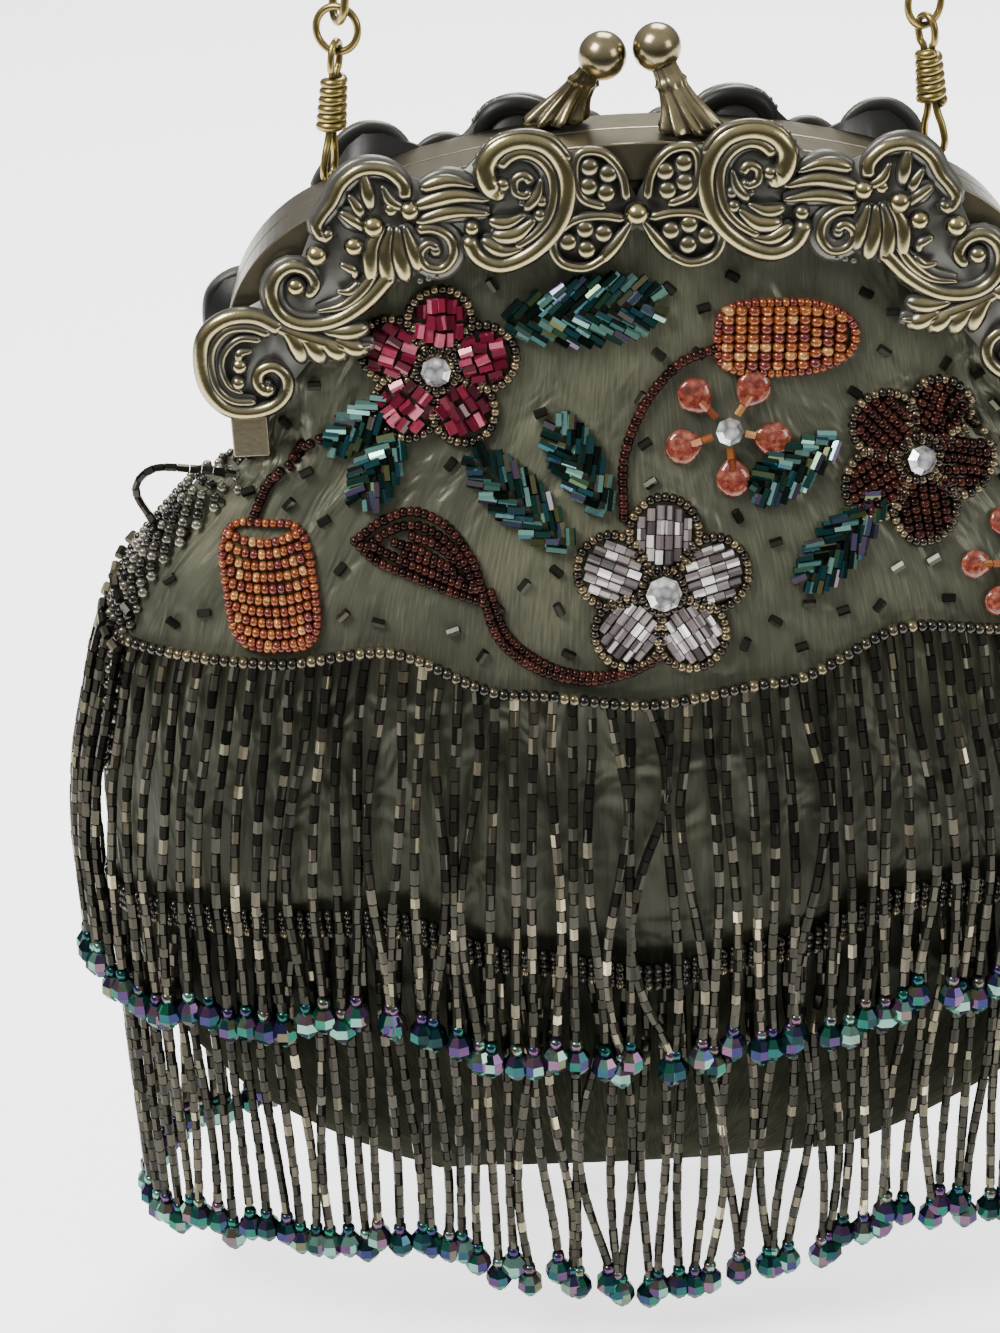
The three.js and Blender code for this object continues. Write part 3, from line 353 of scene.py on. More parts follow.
castBrass = antiqueBrass("cast brass blackened", "#5c5b55", "#656258", "#a89c70", 0.2, (10.9, 11.6, 13.8))
railBrass = antiqueBrass("rolled brass greyed", "#35332b", "#5f5a4b", "#857d66", 0.3)
wireBrass = antiqueBrass("drawn brass wire", "#2a261c", "#635839", "#978550", 0.3)
claspBrass = antiqueBrass("turned brass darkened", "#2b2924", "#524d40", "#918667", 0.22)
satin = oliveSatin()
# the pale upper stops of this ramp are painted glints, reached by the beads that hangStrand lifts
smokeGlass = beadGlass("two-cut glass smoky bronze", [
    (0.0, "#1a1a17"), (0.35, "#2d2c27"), (0.6, "#45423a"),
    (0.78, "#5c5747"), (0.9, "#7f7862"), (1.0, "#b4ab8e"),
], roughness=0.12, metallic=0.7, coat=0.0, glint="#8d8469")
irisGlass = beadGlass("iris glass drops", [
    (0.0, "#071012"), (0.18, "#123a3e"), (0.34, "#185842"), (0.48, "#20214a"),
    (0.62, "#3f2848"), (0.76, "#614458"), (0.88, "#4b4a2e"), (1.0, "#5f8579"),
], roughness=0.05, metallic=0.8, coat=0.1, glint="#7fa39c")
bronzeGlass = beadGlass("bronze seed glass", [
    (0.0, "#15110c"), (0.5, "#3b3022"), (1.0, "#7d6e50"),
], roughness=0.16, metallic=0.7)
pewterGlass = beadGlass("pewter seed glass", [
    (0.0, "#1b1a17"), (0.5, "#46433a"), (1.0, "#8a8577"),
], roughness=0.2, metallic=0.7)
hemGlass = beadGlass("gunmetal seed glass", [
    (0.0, "#1a1915"), (0.6, "#393428"), (1.0, "#72674b"),
], roughness=0.14, metallic=0.7)
redGlass = beadGlass("red chip glass", [
    (0.0, "#2a0a12"), (0.5, "#5c1226"), (0.85, "#842038"), (1.0, "#c4667a"),
], roughness=0.08, metallic=0.25, coat=0.1)
brownGlass = beadGlass("brown seed glass", [
    (0.0, "#100707"), (0.5, "#231110"), (1.0, "#3f221b"),
], roughness=0.14, metallic=0.4, coat=0.05, glint="#b08a78")
lilacGlass = beadGlass("silver-lined lilac glass", [
    (0.0, "#433d3d"), (0.4, "#6e6464"), (0.75, "#958b88"), (1.0, "#ece8e2"),
], roughness=0.1, metallic=0.3)
amberGlass = beadGlass("amber iris seed glass", [
    (0.0, "#57232a"), (0.3, "#6b2d1c"), (0.6, "#86451f"), (0.85, "#985c2c"), (1.0, "#b98a55"),
], roughness=0.12, metallic=0.35, coat=0.2)
tealGlass = beadGlass("teal iris bugle glass", [
    (0.0, "#0a100e"), (0.2, "#10211d"), (0.4, "#183a34"), (0.54, "#1d4450"), (0.66, "#2f4c34"),
    (0.78, "#5c5a36"), (0.88, "#52405f"), (0.95, "#34576a"), (1.0, "#6d968c"),
], roughness=0.08, metallic=0.7, coat=0.1, glint="#a8c4bc")
orangeGlass = beadGlass("clear orange glass", [
    (0.3, "#6b2a1f"), (0.5, "#a84c38"), (0.7, "#d08a68"),
], roughness=0.08, through=0.6, streaks=1.0)


def clearStone():
    # foil-backed cut glass: bright facets that mirror the room, with cloudy lights inside
    material, tree, bsdf = startMaterial("foiled cut glass")
    place = addNode(tree, "ShaderNodeTexCoord")
    spark = addNode(tree, "ShaderNodeTexVoronoi", inputs={
        "Vector": place.outputs["Object"], "Scale": 1 / (1.6 * mm)})
    ramp = addNode(tree, "ShaderNodeValToRGB", inputs={"Fac": spark.outputs["Distance"]}, stops=[
        (0.0, "#ffffff"), (0.4, "#d9d7d6"), (0.8, "#8b898c")])
    fillInputs(tree, bsdf, {
        "Base Color": ramp.outputs["Color"], "Metallic": 0.65, "Roughness": 0.04, "Coat Weight": 1.0})
    return material


stoneGlass = clearStone()
print("materials ready")


# pouch

pouchSize = {
    "power": 2.3, "mouthInset": 5.5, "mouthDepth": 8.5, "legReach": 64, "legDepth": 7.8,
    "columns": 216, "yokeRows": 22, "bodyRows": 62, "wall": 1.3,
    "pleats": 62, "pleatDepth": 0.9, "crumple": 0.8, "clothAround": 560, "clothDown": 240,
}
pouchSections = [  # height, half width, half depth
    (-66, 86, 19.5), (-82, 101, 25), (-100, 108, 29), (-125, 112, 32.5), (-150, 113, 34), (-175, 110, 33),
    (-195, 103, 29.5), (-212, 91, 24), (-226, 75, 16.5), (-236, 60, 9), (-243, 47, 2.4),
]
shoulderZ, shoulderWidth, shoulderDepth = pouchSections[0]  # the yoke ends here
bottomZ = pouchSections[-1][0]
arch = {"corner": 30.0, "crown": 169.0}  # radii of the frame
cornerX = frameHalf - arch["corner"]
cornerRise = math.sqrt((arch["crown"] - arch["corner"]) ** 2 - cornerX ** 2)
cornerZ = cornerRise - arch["crown"]
meetAngle = math.atan2(cornerRise, cornerX)


def archPoint(turn, inset):
    # place on the frame's arch, from the right leg's foot (0) to the left leg's (1)
    mirrored = turn > 0.5
    leg = cornerZ - legBottom
    corner = (arch["corner"] - inset) * meetAngle
    crown = (arch["crown"] - inset) * (math.pi / 2 - meetAngle)
    run = min(turn, 1 - turn) * 2 * (leg + corner + crown)
    if run <= leg:
        x, z = frameHalf - inset, legBottom + run
    elif run <= leg + corner:
        angle = (run - leg) / (arch["corner"] - inset)
        x = cornerX + (arch["corner"] - inset) * math.cos(angle)
        z = cornerZ + (arch["corner"] - inset) * math.sin(angle)
    else:
        angle = meetAngle + (run - leg - corner) / (arch["crown"] - inset)
        x = (arch["crown"] - inset) * math.cos(angle)
        z = (arch["crown"] - inset) * math.sin(angle) - arch["crown"]
    return (-x if mirrored else x), z


softRows = 9  # millimetres on each side over which a section is softened
heights = np.arange(bottomZ, shoulderZ + 0.5, 1.0)
sectionTable = np.array(pouchSections[::-1], float)
easing = np.hanning(2 * softRows + 1) / np.hanning(2 * softRows + 1).sum()


def softened(column):
    # the sections joined by a curve in place of straight runs
    values = np.interp(heights, sectionTable[:, 0], sectionTable[:, column])
    slopeLow, slopeHigh = values[1] - values[0], values[-1] - values[-2]
    low = values[0] + slopeLow * np.arange(-softRows, 0)
    high = values[-1] + slopeHigh * np.arange(1, softRows + 1)
    return np.convolve(np.concatenate([low, values, high]), easing, "valid")


softWidth, softDepth = softened(1), softened(2)


def sectionAt(z):
    return np.interp(z, heights, softWidth), np.interp(z, heights, softDepth)


def ovalPoint(angle, halfWidth, halfDepth):
    # angle 0 is the right side seam, a quarter turn the middle of the front
    power = 2 / pouchSize["power"]
    cos, sin = math.cos(angle), math.sin(angle)
    return (halfWidth * math.copysign(abs(cos) ** power, cos),
            -halfDepth * math.copysign(abs(sin) ** power, sin))


def yokePoint(angle, share):
    # the yoke falls from the mouth, under the arch of the frame, to the shoulder
    turn = abs(angle) / math.pi
    mouthX, mouthZ = archPoint(turn if turn <= 1 else 2 - turn, pouchSize["mouthInset"])
    opening = min(1, abs(math.sin(angle)) * 2.4) ** 0.7
    mouthY = -math.copysign(pouchSize["mouthDepth"] * opening, math.sin(angle))
    lowX, lowY = ovalPoint(angle, *sectionAt(shoulderZ))
    x = mouthX + (lowX - mouthX) * share ** 3.2
    y = mouthY + (lowY - mouthY) * share ** 1.6
    z = mouthZ + (shoulderZ - mouthZ) * share ** 0.8
    if abs(x) > pouchSize["legReach"] and z > legBottom - 1:
        y = max(-pouchSize["legDepth"], min(pouchSize["legDepth"], y))
    return x, y, z


foldRuns = [  # soft folds that fall from the frame: angle in degrees, spread, depth, slant, end height
    (20, 5, 2.0, 6, -90), (33, 3.5, 1.0, 4, -86), (44, 4, 1.2, 3, -94), (61, 5, 0.6, 2, -90),
    (118, 5, 0.6, -2, -92), (134, 4, 1.1, -3, -92), (147, 3.5, 1.0, -4, -88), (160, 5, 2.0, -6, -92),
]
dropFolds = [  # broad folds behind the fringe: angle in degrees, spread, depth
    (28, 5, 1.8), (50, 5, 2.2), (71, 4, 2.0), (93, 5, 2.6), (116, 4, 2.0), (138, 5, 2.2), (156, 4, 1.6),
]


def foldDepth(angle, z):
    degrees = math.degrees(angle) % 180
    depth = 0.0
    for middle, spread, deep, slant, end in foldRuns:
        fall = bounded((z - end) / 30) * bounded((-8 - z) / 18)
        off = (degrees - middle - slant * (z + 60) / 60) / spread
        depth += deep * fall * math.exp(-off * off)
    hung = bounded((-100 - z) / 30) * bounded((z + 225) / 40)
    for middle, spread, deep in dropFolds:
        off = (degrees - middle - 2.5 * math.sin(z / 37 + middle)) / spread
        depth += deep * hung * math.exp(-off * off)
    pleat = bounded((-104 - z) / 22) * bounded((z - bottomZ) / 30)
    wave = 0.5 - 0.5 * math.cos(angle * pouchSize["pleats"] + 1.4 * math.sin(z / 31))
    return depth + pouchSize["pleatDepth"] * pleat * wave


def pouchPoint(u, v):
    # u goes round from the right seam, v down from the mouth
    angle = 2 * math.pi * u
    yokeShare = pouchSize["yokeRows"] / (pouchSize["yokeRows"] + pouchSize["bodyRows"])
    if v <= yokeShare:
        x, y, z = yokePoint(angle, v / yokeShare)
    else:
        z = shoulderZ + (bottomZ - shoulderZ) * (v - yokeShare) / (1 - yokeShare)
        x, y = ovalPoint(angle, *sectionAt(z))
    if v >= 0.999:  # the bottom seam
        return x, 0.0, z
    inward = foldDepth(angle, z) + pouchSize["crumple"] * (0.5 + 0.5 * noise.noise((x / 22, y / 22, z / 30)))
    if abs(x) > 60 and z > -62:  # held flat inside the legs of the frame
        inward *= 0.3
    reach = max(abs(y), 1e-6)
    y -= math.copysign(min(inward, reach * 0.5), y) * abs(math.sin(angle)) ** 0.4
    x -= math.copysign(inward, x) * abs(math.cos(angle)) ** 3 * (1 if z < -70 else 0.2)
    return x, y, z


def sewPouch():
    bm = bmesh.new()
    rows = pouchSize["yokeRows"] + pouchSize["bodyRows"]
    cloth = bm.loops.layers.uv.new("cloth")
    bmesh.ops.create_grid(bm, x_segments=pouchSize["columns"], y_segments=rows, size=0.5)
    for face in bm.faces:
        for loop in face.loops:  # in millimetres of cloth
            loop[cloth].uv = ((loop.vert.co.x + 0.5) * pouchSize["clothAround"],
                              (0.5 - loop.vert.co.y) * pouchSize["clothDown"])
    for vert in bm.verts:
        vert.co = pouchPoint(vert.co.x + 0.5, 0.5 - vert.co.y)
    bmesh.ops.remove_doubles(bm, verts=bm.verts, dist=1e-3)
    bmesh.ops.recalc_face_normals(bm, faces=bm.faces)
    foremost = min(bm.faces, key=lambda face: face.calc_center_median().y)
    if foremost.normal.y > 0:  # the mouth is open, so the outside is checked
        bmesh.ops.reverse_faces(bm, faces=bm.faces)
        print("pouch turned right side out")
    return bm


pouchBm = sewPouch()
clothTree = BVHTree.FromBMesh(pouchBm)
pouch = seatShape(pouchBm, "pouch_satin", satin, ["pouch"])
wall = pouch.modifiers.new("cloth thickness", "SOLIDIFY")
wall.thickness = pouchSize["wall"] * mm
wall.offset = -1.0
print("pouch sewn", len(pouch.data.polygons), "faces")


def onCloth(x, z, lift=0.0, back=False):
    # point on the front (or back) of the cloth, and the way it faces
    side = 1 if back else -1
    place, normal, _, _ = clothTree.ray_cast(Vector((x, side * 200, z)), Vector((0, -side, 0)))
    if place is None:
        return None
    if normal.y * side < 0:
        normal = -normal
    return place + normal * lift, normal


# bead shapes

def cutBead(sides):
    bm = bmesh.new()
    bmesh.ops.create_cone(bm, cap_ends=True, segments=sides, radius1=1, radius2=1, depth=2)
    return beadShape(bm)


def seedBead(sides):
    # a short barrel with rounded rims, so that a string of them lies close
    bm = bmesh.new()
    bmesh.ops.create_cone(bm, cap_ends=True, segments=sides, radius1=1, radius2=1, depth=2)
    upright = [e for e in bm.edges if abs(e.verts[0].co.z - e.verts[1].co.z) > 0.5]
    bmesh.ops.subdivide_edges(bm, edges=upright, cuts=3)
    for vert in bm.verts:
        height = math.sin(vert.co.z * math.pi / 2)
        reach = 1 - 0.5 * abs(height) ** 5
        vert.co = (vert.co.x * reach, vert.co.y * reach, height)
    return beadShape(bm)


def dropBead():
    # fire-polished round, with flat cuts
    bm = bmesh.new()
    bmesh.ops.create_uvsphere(bm, u_segments=8, v_segments=5, radius=1)
    for vert in bm.verts:  # widest below the middle
        vert.co.x *= 1 - 0.1 * vert.co.z
        vert.co.y *= 1 - 0.1 * vert.co.z
    return beadShape(bm)


hexShape, seedShape, dropShape = cutBead(6), seedBead(7), dropBead()
seedSize = {"radius": 1.05, "length": 0.72, "pitch": 1.46}


# fringe

fringe = {
    "pitch": 3.7, "rootOff": 1.2, "length": 77, "shorter": 3.6, "longer": 1, "swing": 0.4, "wave": 0.8,
    "girth": 70,  # millimetres that one radian of swing stands for
    "bead": (1.02, 2.8), "capSize": (1.5, 1.5, 1.3), "dropSize": (3.0, 3.0, 3.2), "stopSize": (0.9, 0.9, 0.7),
    "capBelow": 0.9, "dropBelow": 4.7, "stopBelow": 8.0,
}
tiers = {  # the hem's height at each distance from the middle, how far the strands hang off, their tones
    "upper": {"hem": [(0, -106), (25, -103), (52, -94), (74, -97), (120, -96)], "hang": 5.6,
              "moods": (0.2, 0.5), "seedLines": 1},
    "lower": {"hem": [(0, -170), (25, -165), (52, -155), (80, -157), (120, -160)], "hang": 2.0,
              "moods": (0.15, 0.48), "seedLines": 3},
}
hemSeed = {"pitch": 1.95, "rise": 0.4, "lineRise": 2.1, "off": 1.1, "size": (1.32, 1.32, 0.95)}
widestZ = -150  # strands that start above this fall clear of the pouch below it


def hemHeight(hem, x):
    rows = np.array(hem, float)
    i = int(np.clip(np.searchsorted(rows[:, 0], abs(x)), 1, len(rows) - 1))
    share = (abs(x) - rows[i - 1, 0]) / (rows[i, 0] - rows[i - 1, 0])
    return rows[i - 1, 1] + (rows[i, 1] - rows[i - 1, 1]) * share * share * (3 - 2 * share)


def surfacePoint(angle, z, off):
    halfWidth, halfDepth = sectionAt(z)
    x, y = ovalPoint(angle, halfWidth + off, halfDepth + off)
    return np.array([x, y, z])


def hemAt(hem, angle):
    return hemHeight(hem, surfacePoint(angle, -100, 0)[0])


def hemAngles(hem, pitch, first, last):
    # angles that space the strands evenly along the hem
    angles = np.linspace(first, last, 900)
    length = runLengths([surfacePoint(a, hemAt(hem, a), 0) for a in angles])
    count = int(length[-1] / pitch)
    return np.interp((np.arange(count) + 0.5) * length[-1] / count, length, angles)


def strandRoute(angle, top, hang, length):
    swing = fringe["swing"] * rng.normal() / fringe["girth"]
    bend = fringe["wave"] * rng.normal() / fringe["girth"]
    phase = rng.uniform(0, 6)
    points = []
    for drop in np.linspace(0, length, 30):
        z = top - drop
        share = min(1.0, drop / max(12.0, top - widestZ))
        off = fringe["rootOff"] + (hang - fringe["rootOff"]) * share * share * (3 - 2 * share)
        turned = angle + swing * (drop / length) ** 1.6
        turned += bend * math.sin(phase + drop / 14) * min(1, drop / 20)
        points.append(surfacePoint(turned, max(z, min(top, widestZ)), off))
        points[-1][2] = z
    return np.array(points)


def hangStrand(route, beads, smalls, drops, moods=(0.15, 0.45)):
    # cut beads down the thread, then a small round, a drop and a stop bead
    run = runLengths(route)
    place = 0.0
    width, usual = fringe["bead"]
    mood = rng.uniform(*moods)
    while place < run[-1] - 1.6:
        length = usual * rng.choice([0.85, 1.0, 1.0, 1.25])
        a, b = pointAlong(route, run, place), pointAlong(route, run, place + length)
        # painted glints: one bead in ten is lifted by 0.35 towards the pale top of its ramp
        tone = mood + rng.normal() * 0.1 + (0.35 if rng.uniform() < 0.1 else 0)
        beads.append(((a + b) / 2, b - a, (width, width, length / 2 * 0.92), tone))
        place += length
    end = route[-1]
    down = np.array([0, 0, -1.0])
    smalls.append((end + down * fringe["capBelow"], down, fringe["capSize"], rng.uniform()))
    drops.append((end + down * fringe["dropBelow"], -down, fringe["dropSize"], rng.uniform()))
    smalls.append((end + down * fringe["stopBelow"], down, fringe["stopSize"], rng.uniform(0, 0.4)))


for tierName, tier in tiers.items():
    hem = tier["hem"]
    for side, first in (("front", 0.0), ("back", math.pi)):
        beads, smalls, drops = [], [], []
        for angle in hemAngles(hem, fringe["pitch"], first + 0.02, first + math.pi - 0.02):
            long = fringe["length"] + rng.uniform(-fringe["shorter"], fringe["longer"])
            route = strandRoute(angle, hemAt(hem, angle), tier["hang"], long)
            hangStrand(route, beads, smalls, drops, tier["moods"])
        node = f"fringe_{tierName}_{side}"
        strewBeads(node + "_strands", hexShape, beads, smokeGlass, [node], jitter=0.1)
        strewBeads(node + "_drops", dropShape, drops, irisGlass, jitter=0.3)
        strewBeads(node + "_rounds", seedShape, smalls, irisGlass, smooth=True)
        rows = []  # large seeds cover the hem
        for angle in hemAngles(hem, hemSeed["pitch"], first, first + math.pi):
            z = hemAt(hem, angle)
            ahead = surfacePoint(angle + 0.01, z, 0) - surfacePoint(angle, z, 0)
            for line in range(tier["seedLines"]):
                tone = rng.uniform(0, 1 if line == 0 else 0.3)
                spot = surfacePoint(angle, z + hemSeed["rise"] + hemSeed["lineRise"] * line, hemSeed["off"])
                rows.append((spot, ahead, hemSeed["size"], tone))
        strewBeads(f"hem_{tierName}_{side}", seedShape, rows, hemGlass, smooth=True)
print("fringe hung")


# side braids

braidSize = {
    "top": -60, "bottom": -128, "beads": 7, "pitch": 1.75, "across": 1.85, "seed": (1.08, 1.08, 0.8),
    "wraps": (-80, -88), "strandTop": -92, "strandsAcross": (-3.5, 0.0, 3.5, 7.0), "hang": 5.8,
    "loop": [(78, -9, -62), (86, -10, -60), (94, -9, -60), (98, -7, -65), (96, -5, -72), (93, -3, -79)],
}


def braidPlace(side, z, across, lift):
    # over the side seam, from the frame's foot down the shoulder of the pouch
    halfWidth, halfDepth = sectionAt(z)
    if z >= shoulderZ:
        halfWidth, halfDepth = shoulderWidth - (z - shoulderZ) * 2.2, shoulderDepth - (z - shoulderZ) * 0.9
    angle = across / max(10.0, halfDepth)
    x, y = ovalPoint(angle, halfWidth + lift, halfDepth + lift)
    return np.array([side * min(x, halfWidth + lift), y, z])


for side, word in ((1, "right"), (-1, "left")):
    beads, strands, smalls, drops = [], [], [], []
    for row, z in enumerate(np.arange(braidSize["top"], braidSize["bottom"], -braidSize["pitch"])):
        for k in range(braidSize["beads"]):
            across = (k - (braidSize["beads"] - 1) / 2 + 0.5 * (row % 2)) * braidSize["across"] + 1.6
            lift = 1.6 - 0.02 * across * across
            beads.append((braidPlace(side, z, across, lift), (0, 1, 0), braidSize["seed"], rng.uniform()))
    for z in braidSize["wraps"]:  # cut beads wrap over the braid
        for k in range(6):
            a, b = (braidPlace(side, z - 1.6 * n, (n - 2) * 2.5, 3.4) for n in (k, k + 1))
            strands.append(((a + b) / 2, b - a, (0.95, 0.95, 1.2), rng.uniform(0.1, 0.8)))
    for across in braidSize["strandsAcross"]:
        top = braidSize["strandTop"] + rng.normal() * 2
        route = strandRoute(0.0 if side > 0 else math.pi, top, braidSize["hang"], fringe["length"])
        route[:, 0] += side * (1.6 - 0.05 * across * across)
        route[:, 1] -= across
        hangStrand(route, strands, smalls, drops)
    # a thread of cut beads stands out from the shoulder in a loop
    loop = smoothRoute(braidSize["loop"], 18)
    for low, high in zip(loop[:-1], loop[1:]):
        a, b = low * [side, 1, 1], high * [side, 1, 1]
        strands.append(((a + b) / 2, b - a, (0.8, 0.8, math.dist(a, b) / 2 * 0.92), rng.uniform(0, 0.3)))
    strewBeads(f"braid_{word}_seeds", seedShape, beads, pewterGlass, [f"side_braid_{word}"], smooth=True)
    strewBeads(f"braid_{word}_strands", hexShape, strands, smokeGlass)
    strewBeads(f"braid_{word}_drops", dropShape, drops, irisGlass, jitter=0.3)
    strewBeads(f"braid_{word}_rounds", seedShape, smalls, irisGlass, smooth=True)
print("side braids made")


# bead embroidery

def turnInto(x, z, angle, along, across):
    return (x + along * math.cos(angle) - across * math.sin(angle),
            z + along * math.sin(angle) + across * math.cos(angle))


def bugle(beads, start, end, width=0.85, lift=0.95, spread=(0.0, 1.0), longest=3.4):
    # bugle beads end to end between two places on the cloth
    count = max(1, round(math.dist(start, end) / longest))
    for k in range(count):
        a = [start[i] + (end[i] - start[i]) * k / count for i in (0, 1)]
        b = [start[i] + (end[i] - start[i]) * (k + 1) / count for i in (0, 1)]
        low, high = onCloth(*a, lift), onCloth(*b, lift)
        if low and high:
            axis = high[0] - low[0]
            size = (width, width, axis.length / 2 * 0.93)
            beads.append(((low[0] + high[0]) / 2, axis, size, rng.uniform(*spread)))


def seedLine(beads, route, size=1.0, pitch=None, lift=0.9, spread=(0.0, 1.0), closed=False):
    # seed beads along a line on the cloth
    route = np.array(list(route) + ([route[0]] if closed else []), float)
    run = runLengths(route)
    count = max(2, round(run[-1] / (pitch or seedSize["pitch"] * size)) + (not closed))
    for d in np.linspace(0, run[-1], count, endpoint=not closed):
        spot = onCloth(*pointAlong(route, run, d), lift)
        ahead = pointAlong(route, run, d + 0.3) - pointAlong(route, run, d - 0.3)
        if spot:
            width = seedSize["radius"] * size * rng.uniform(0.93, 1.05)
            beads.append((spot[0], (ahead[0], 0, ahead[1]), (width, width, seedSize["length"] * size),
                          rng.uniform(*spread)))


def petalRing(at, angle, middle, long, wide, points=28):
    return [turnInto(*at, angle, middle + long * math.cos(a), wide * math.sin(a))
            for a in np.linspace(0, 2 * math.pi, points, endpoint=False)]


flowers = {
    "red": {"at": (-38, -41.5), "radius": 15.4, "first": 12, "fill": "chips", "glass": redGlass},
    "brown": {"at": (53.4, -63), "radius": 15.6, "first": 62, "fill": "seeds", "glass": brownGlass},
    "lilac": {"at": (3.1, -83.5), "radius": 17.2, "first": 14, "fill": "columns", "glass": lilacGlass},
    "orange": {"at": (16.6, -55), "radius": 12.4, "first": 55},
    "orange_right": {"at": (72, -84), "radius": 10.5, "first": 30},
}
petal = {"long": 0.355, "wide": 0.35, "collar": 4.1}  # half sizes as shares of the flower's radius


def petalAngles(flower):
    return [math.radians(flower["first"] + 72 * k) for k in range(5)]


def fillPetal(beads, fill, at, angle, middle, long, wide):
    def inPetal(along, across):
        return turnInto(*at, angle, middle + along, across)

    if fill == "columns":  # short bugles in straight columns
        for across in np.arange(-wide + 1, wide - 0.4, 1.75):
            reach = long * math.sqrt(max(0.0, 1 - (across / wide) ** 2))
            if reach > 1.2:
                bugle(beads, inPetal(-reach, across), inPetal(reach, across), 0.85, 1.1, longest=2.5)
    if fill == "seeds":  # strings of seed beads along the petal
        for across in np.linspace(-wide + 1, wide - 1, 5):
            reach = long * math.sqrt(max(0.0, 1 - (across / wide) ** 2))
            if reach > 1:
                seedLine(beads, [inPetal(-reach, across), inPetal(reach, across)], 1.08, 1.5, 1.2)
    if fill == "chips":  # square-cut chips in columns, heaped up in the middle of the petal
        for across in (-3.6, -1.8, 0, 1.8, 3.6):
            reach = long * math.sqrt(max(0.1, 1 - (across / wide) ** 2)) - 1.5
            for along in np.linspace(-reach, reach, max(2, round(reach / 1.35) + 1)):
                spot = inPetal(along + rng.normal() * 0.15, across + rng.normal() * 0.12)
                aim = angle + rng.normal() * 0.14
                lift = 2.0 - 0.9 * math.hypot(along / long, across / wide) + rng.uniform(0, 0.2)
                ends = [turnInto(*spot, aim, half, 0) for half in (-1.4, 1.4)]
                bugle(beads, *ends, 1.15, lift, (0.2, 0.9))


outlineSeeds = []
for name, flower in flowers.items():
    if "fill" in flower:
        petals = []
        reach = flower["radius"]
        long, wide = reach * petal["long"], reach * petal["wide"]
        middle = reach - long - 0.9
        for angle in petalAngles(flower):
            fillPetal(petals, flower["fill"], flower["at"], angle, middle, long - 0.6, wide - 0.6)
            edge = petalRing(flower["at"], angle, middle, long + 0.7, wide + 0.7)
            seedLine(outlineSeeds, edge, closed=True, lift=1.0)
        shape = seedShape if flower["fill"] == "seeds" else hexShape
        strewBeads(f"flower_{name}_petals", shape, petals, flower["glass"], [f"flower_{name}"],
                   smooth=flower["fill"] == "seeds", jitter=0.25)
        ring = [turnInto(*flower["at"], a, petal["collar"], 0) for a in np.linspace(0, 2 * math.pi, 13)[:-1]]
        seedLine(outlineSeeds, ring, 0.95, lift=1.7, closed=True, spread=(0, 0.6))
    finishNode(f"stone_{name}", stoneGlass)


def paddlePetals(name, flower):
    # five clear glass paddles, each threaded on with a short amber bugle
    bm = bmesh.new()
    necks = []
    scale = flower["radius"] / flowers["orange"]["radius"]
    for angle in petalAngles(flower):
        angle += rng.normal() * 0.08
        middle = onCloth(*turnInto(*flower["at"], angle, 8.8 * scale, 0), 1.3)
        out = Vector((math.cos(angle), 0, math.sin(angle)))
        normal = middle[1]
        out = (out - normal * out.dot(normal)).normalized()
        side = normal.cross(out)
        ball = bmesh.ops.create_uvsphere(bm, u_segments=20, v_segments=12, radius=1)["verts"]
        for vert in ball:
            along, across, high = vert.co
            narrow = 1 - 0.3 * max(0.0, -along)
            vert.co = (middle[0] + out * along * 3.7 * scale + side * across * 3.4 * scale * narrow
                       + normal * high * 1.1)
        ends = [turnInto(*flower["at"], angle, reach * scale, 0) for reach in (3.2, 7.6)]
        bugle(necks, *ends, 0.75, 1.9, (0.4, 0.9), 2.4)
    bmesh.ops.recalc_face_normals(bm, faces=bm.faces)
    seatShape(bm, f"flower_{name}_paddles", orangeGlass, [f"flower_{name}"])
    strewBeads(f"flower_{name}_necks", hexShape, necks, amberGlass)


paddlePetals("orange", flowers["orange"])
paddlePetals("orange_right", flowers["orange_right"])

leaves = {  # base, tip, width
    "top": ((-25, -33), (5.4, -30.3), 12.5),
    "left_a": ((-47, -47.5), (-61, -57), 7),
    "left_b": ((-46, -54), (-54.5, -67), 7.5),
    "middle_a": ((-14.5, -75), (-33, -57), 9.5),
    "middle_b": ((-7, -69), (-17, -51), 9),
    "right_a": ((37.5, -58), (20, -67.5), 8.5),
    "right_b": ((46, -69.5), (29.5, -84.5), 9),
}
for name, (base, tip, width) in leaves.items():
    beads = []
    length = math.dist(base, tip)
    angle = math.atan2(tip[1] - base[1], tip[0] - base[0])
    count = max(4, round(length / 2.3))
    for k in range(count + 1):  # bugles slant out from the midrib on both sides
        along = length * k / (count + 1.2)
        reach = width / 2 * math.sin(math.pi * min(0.98, (k + 0.9) / (count + 1.6)) ** 0.8) ** 0.6
        for side in (-1, 1):
            slant = rng.normal() * 0.5
            a = turnInto(*base, angle, along, side * 0.55)
            b = turnInto(*base, angle, along + reach * 1.25 + slant, side * (reach + 0.4))
            bugle(beads, a, b, 0.98, 1.0 + rng.uniform(0, 0.7), longest=3.4)
    strewBeads(f"leaf_{name}_bugles", hexShape, beads, tealGlass, [f"leaf_{name}"], jitter=0.3)

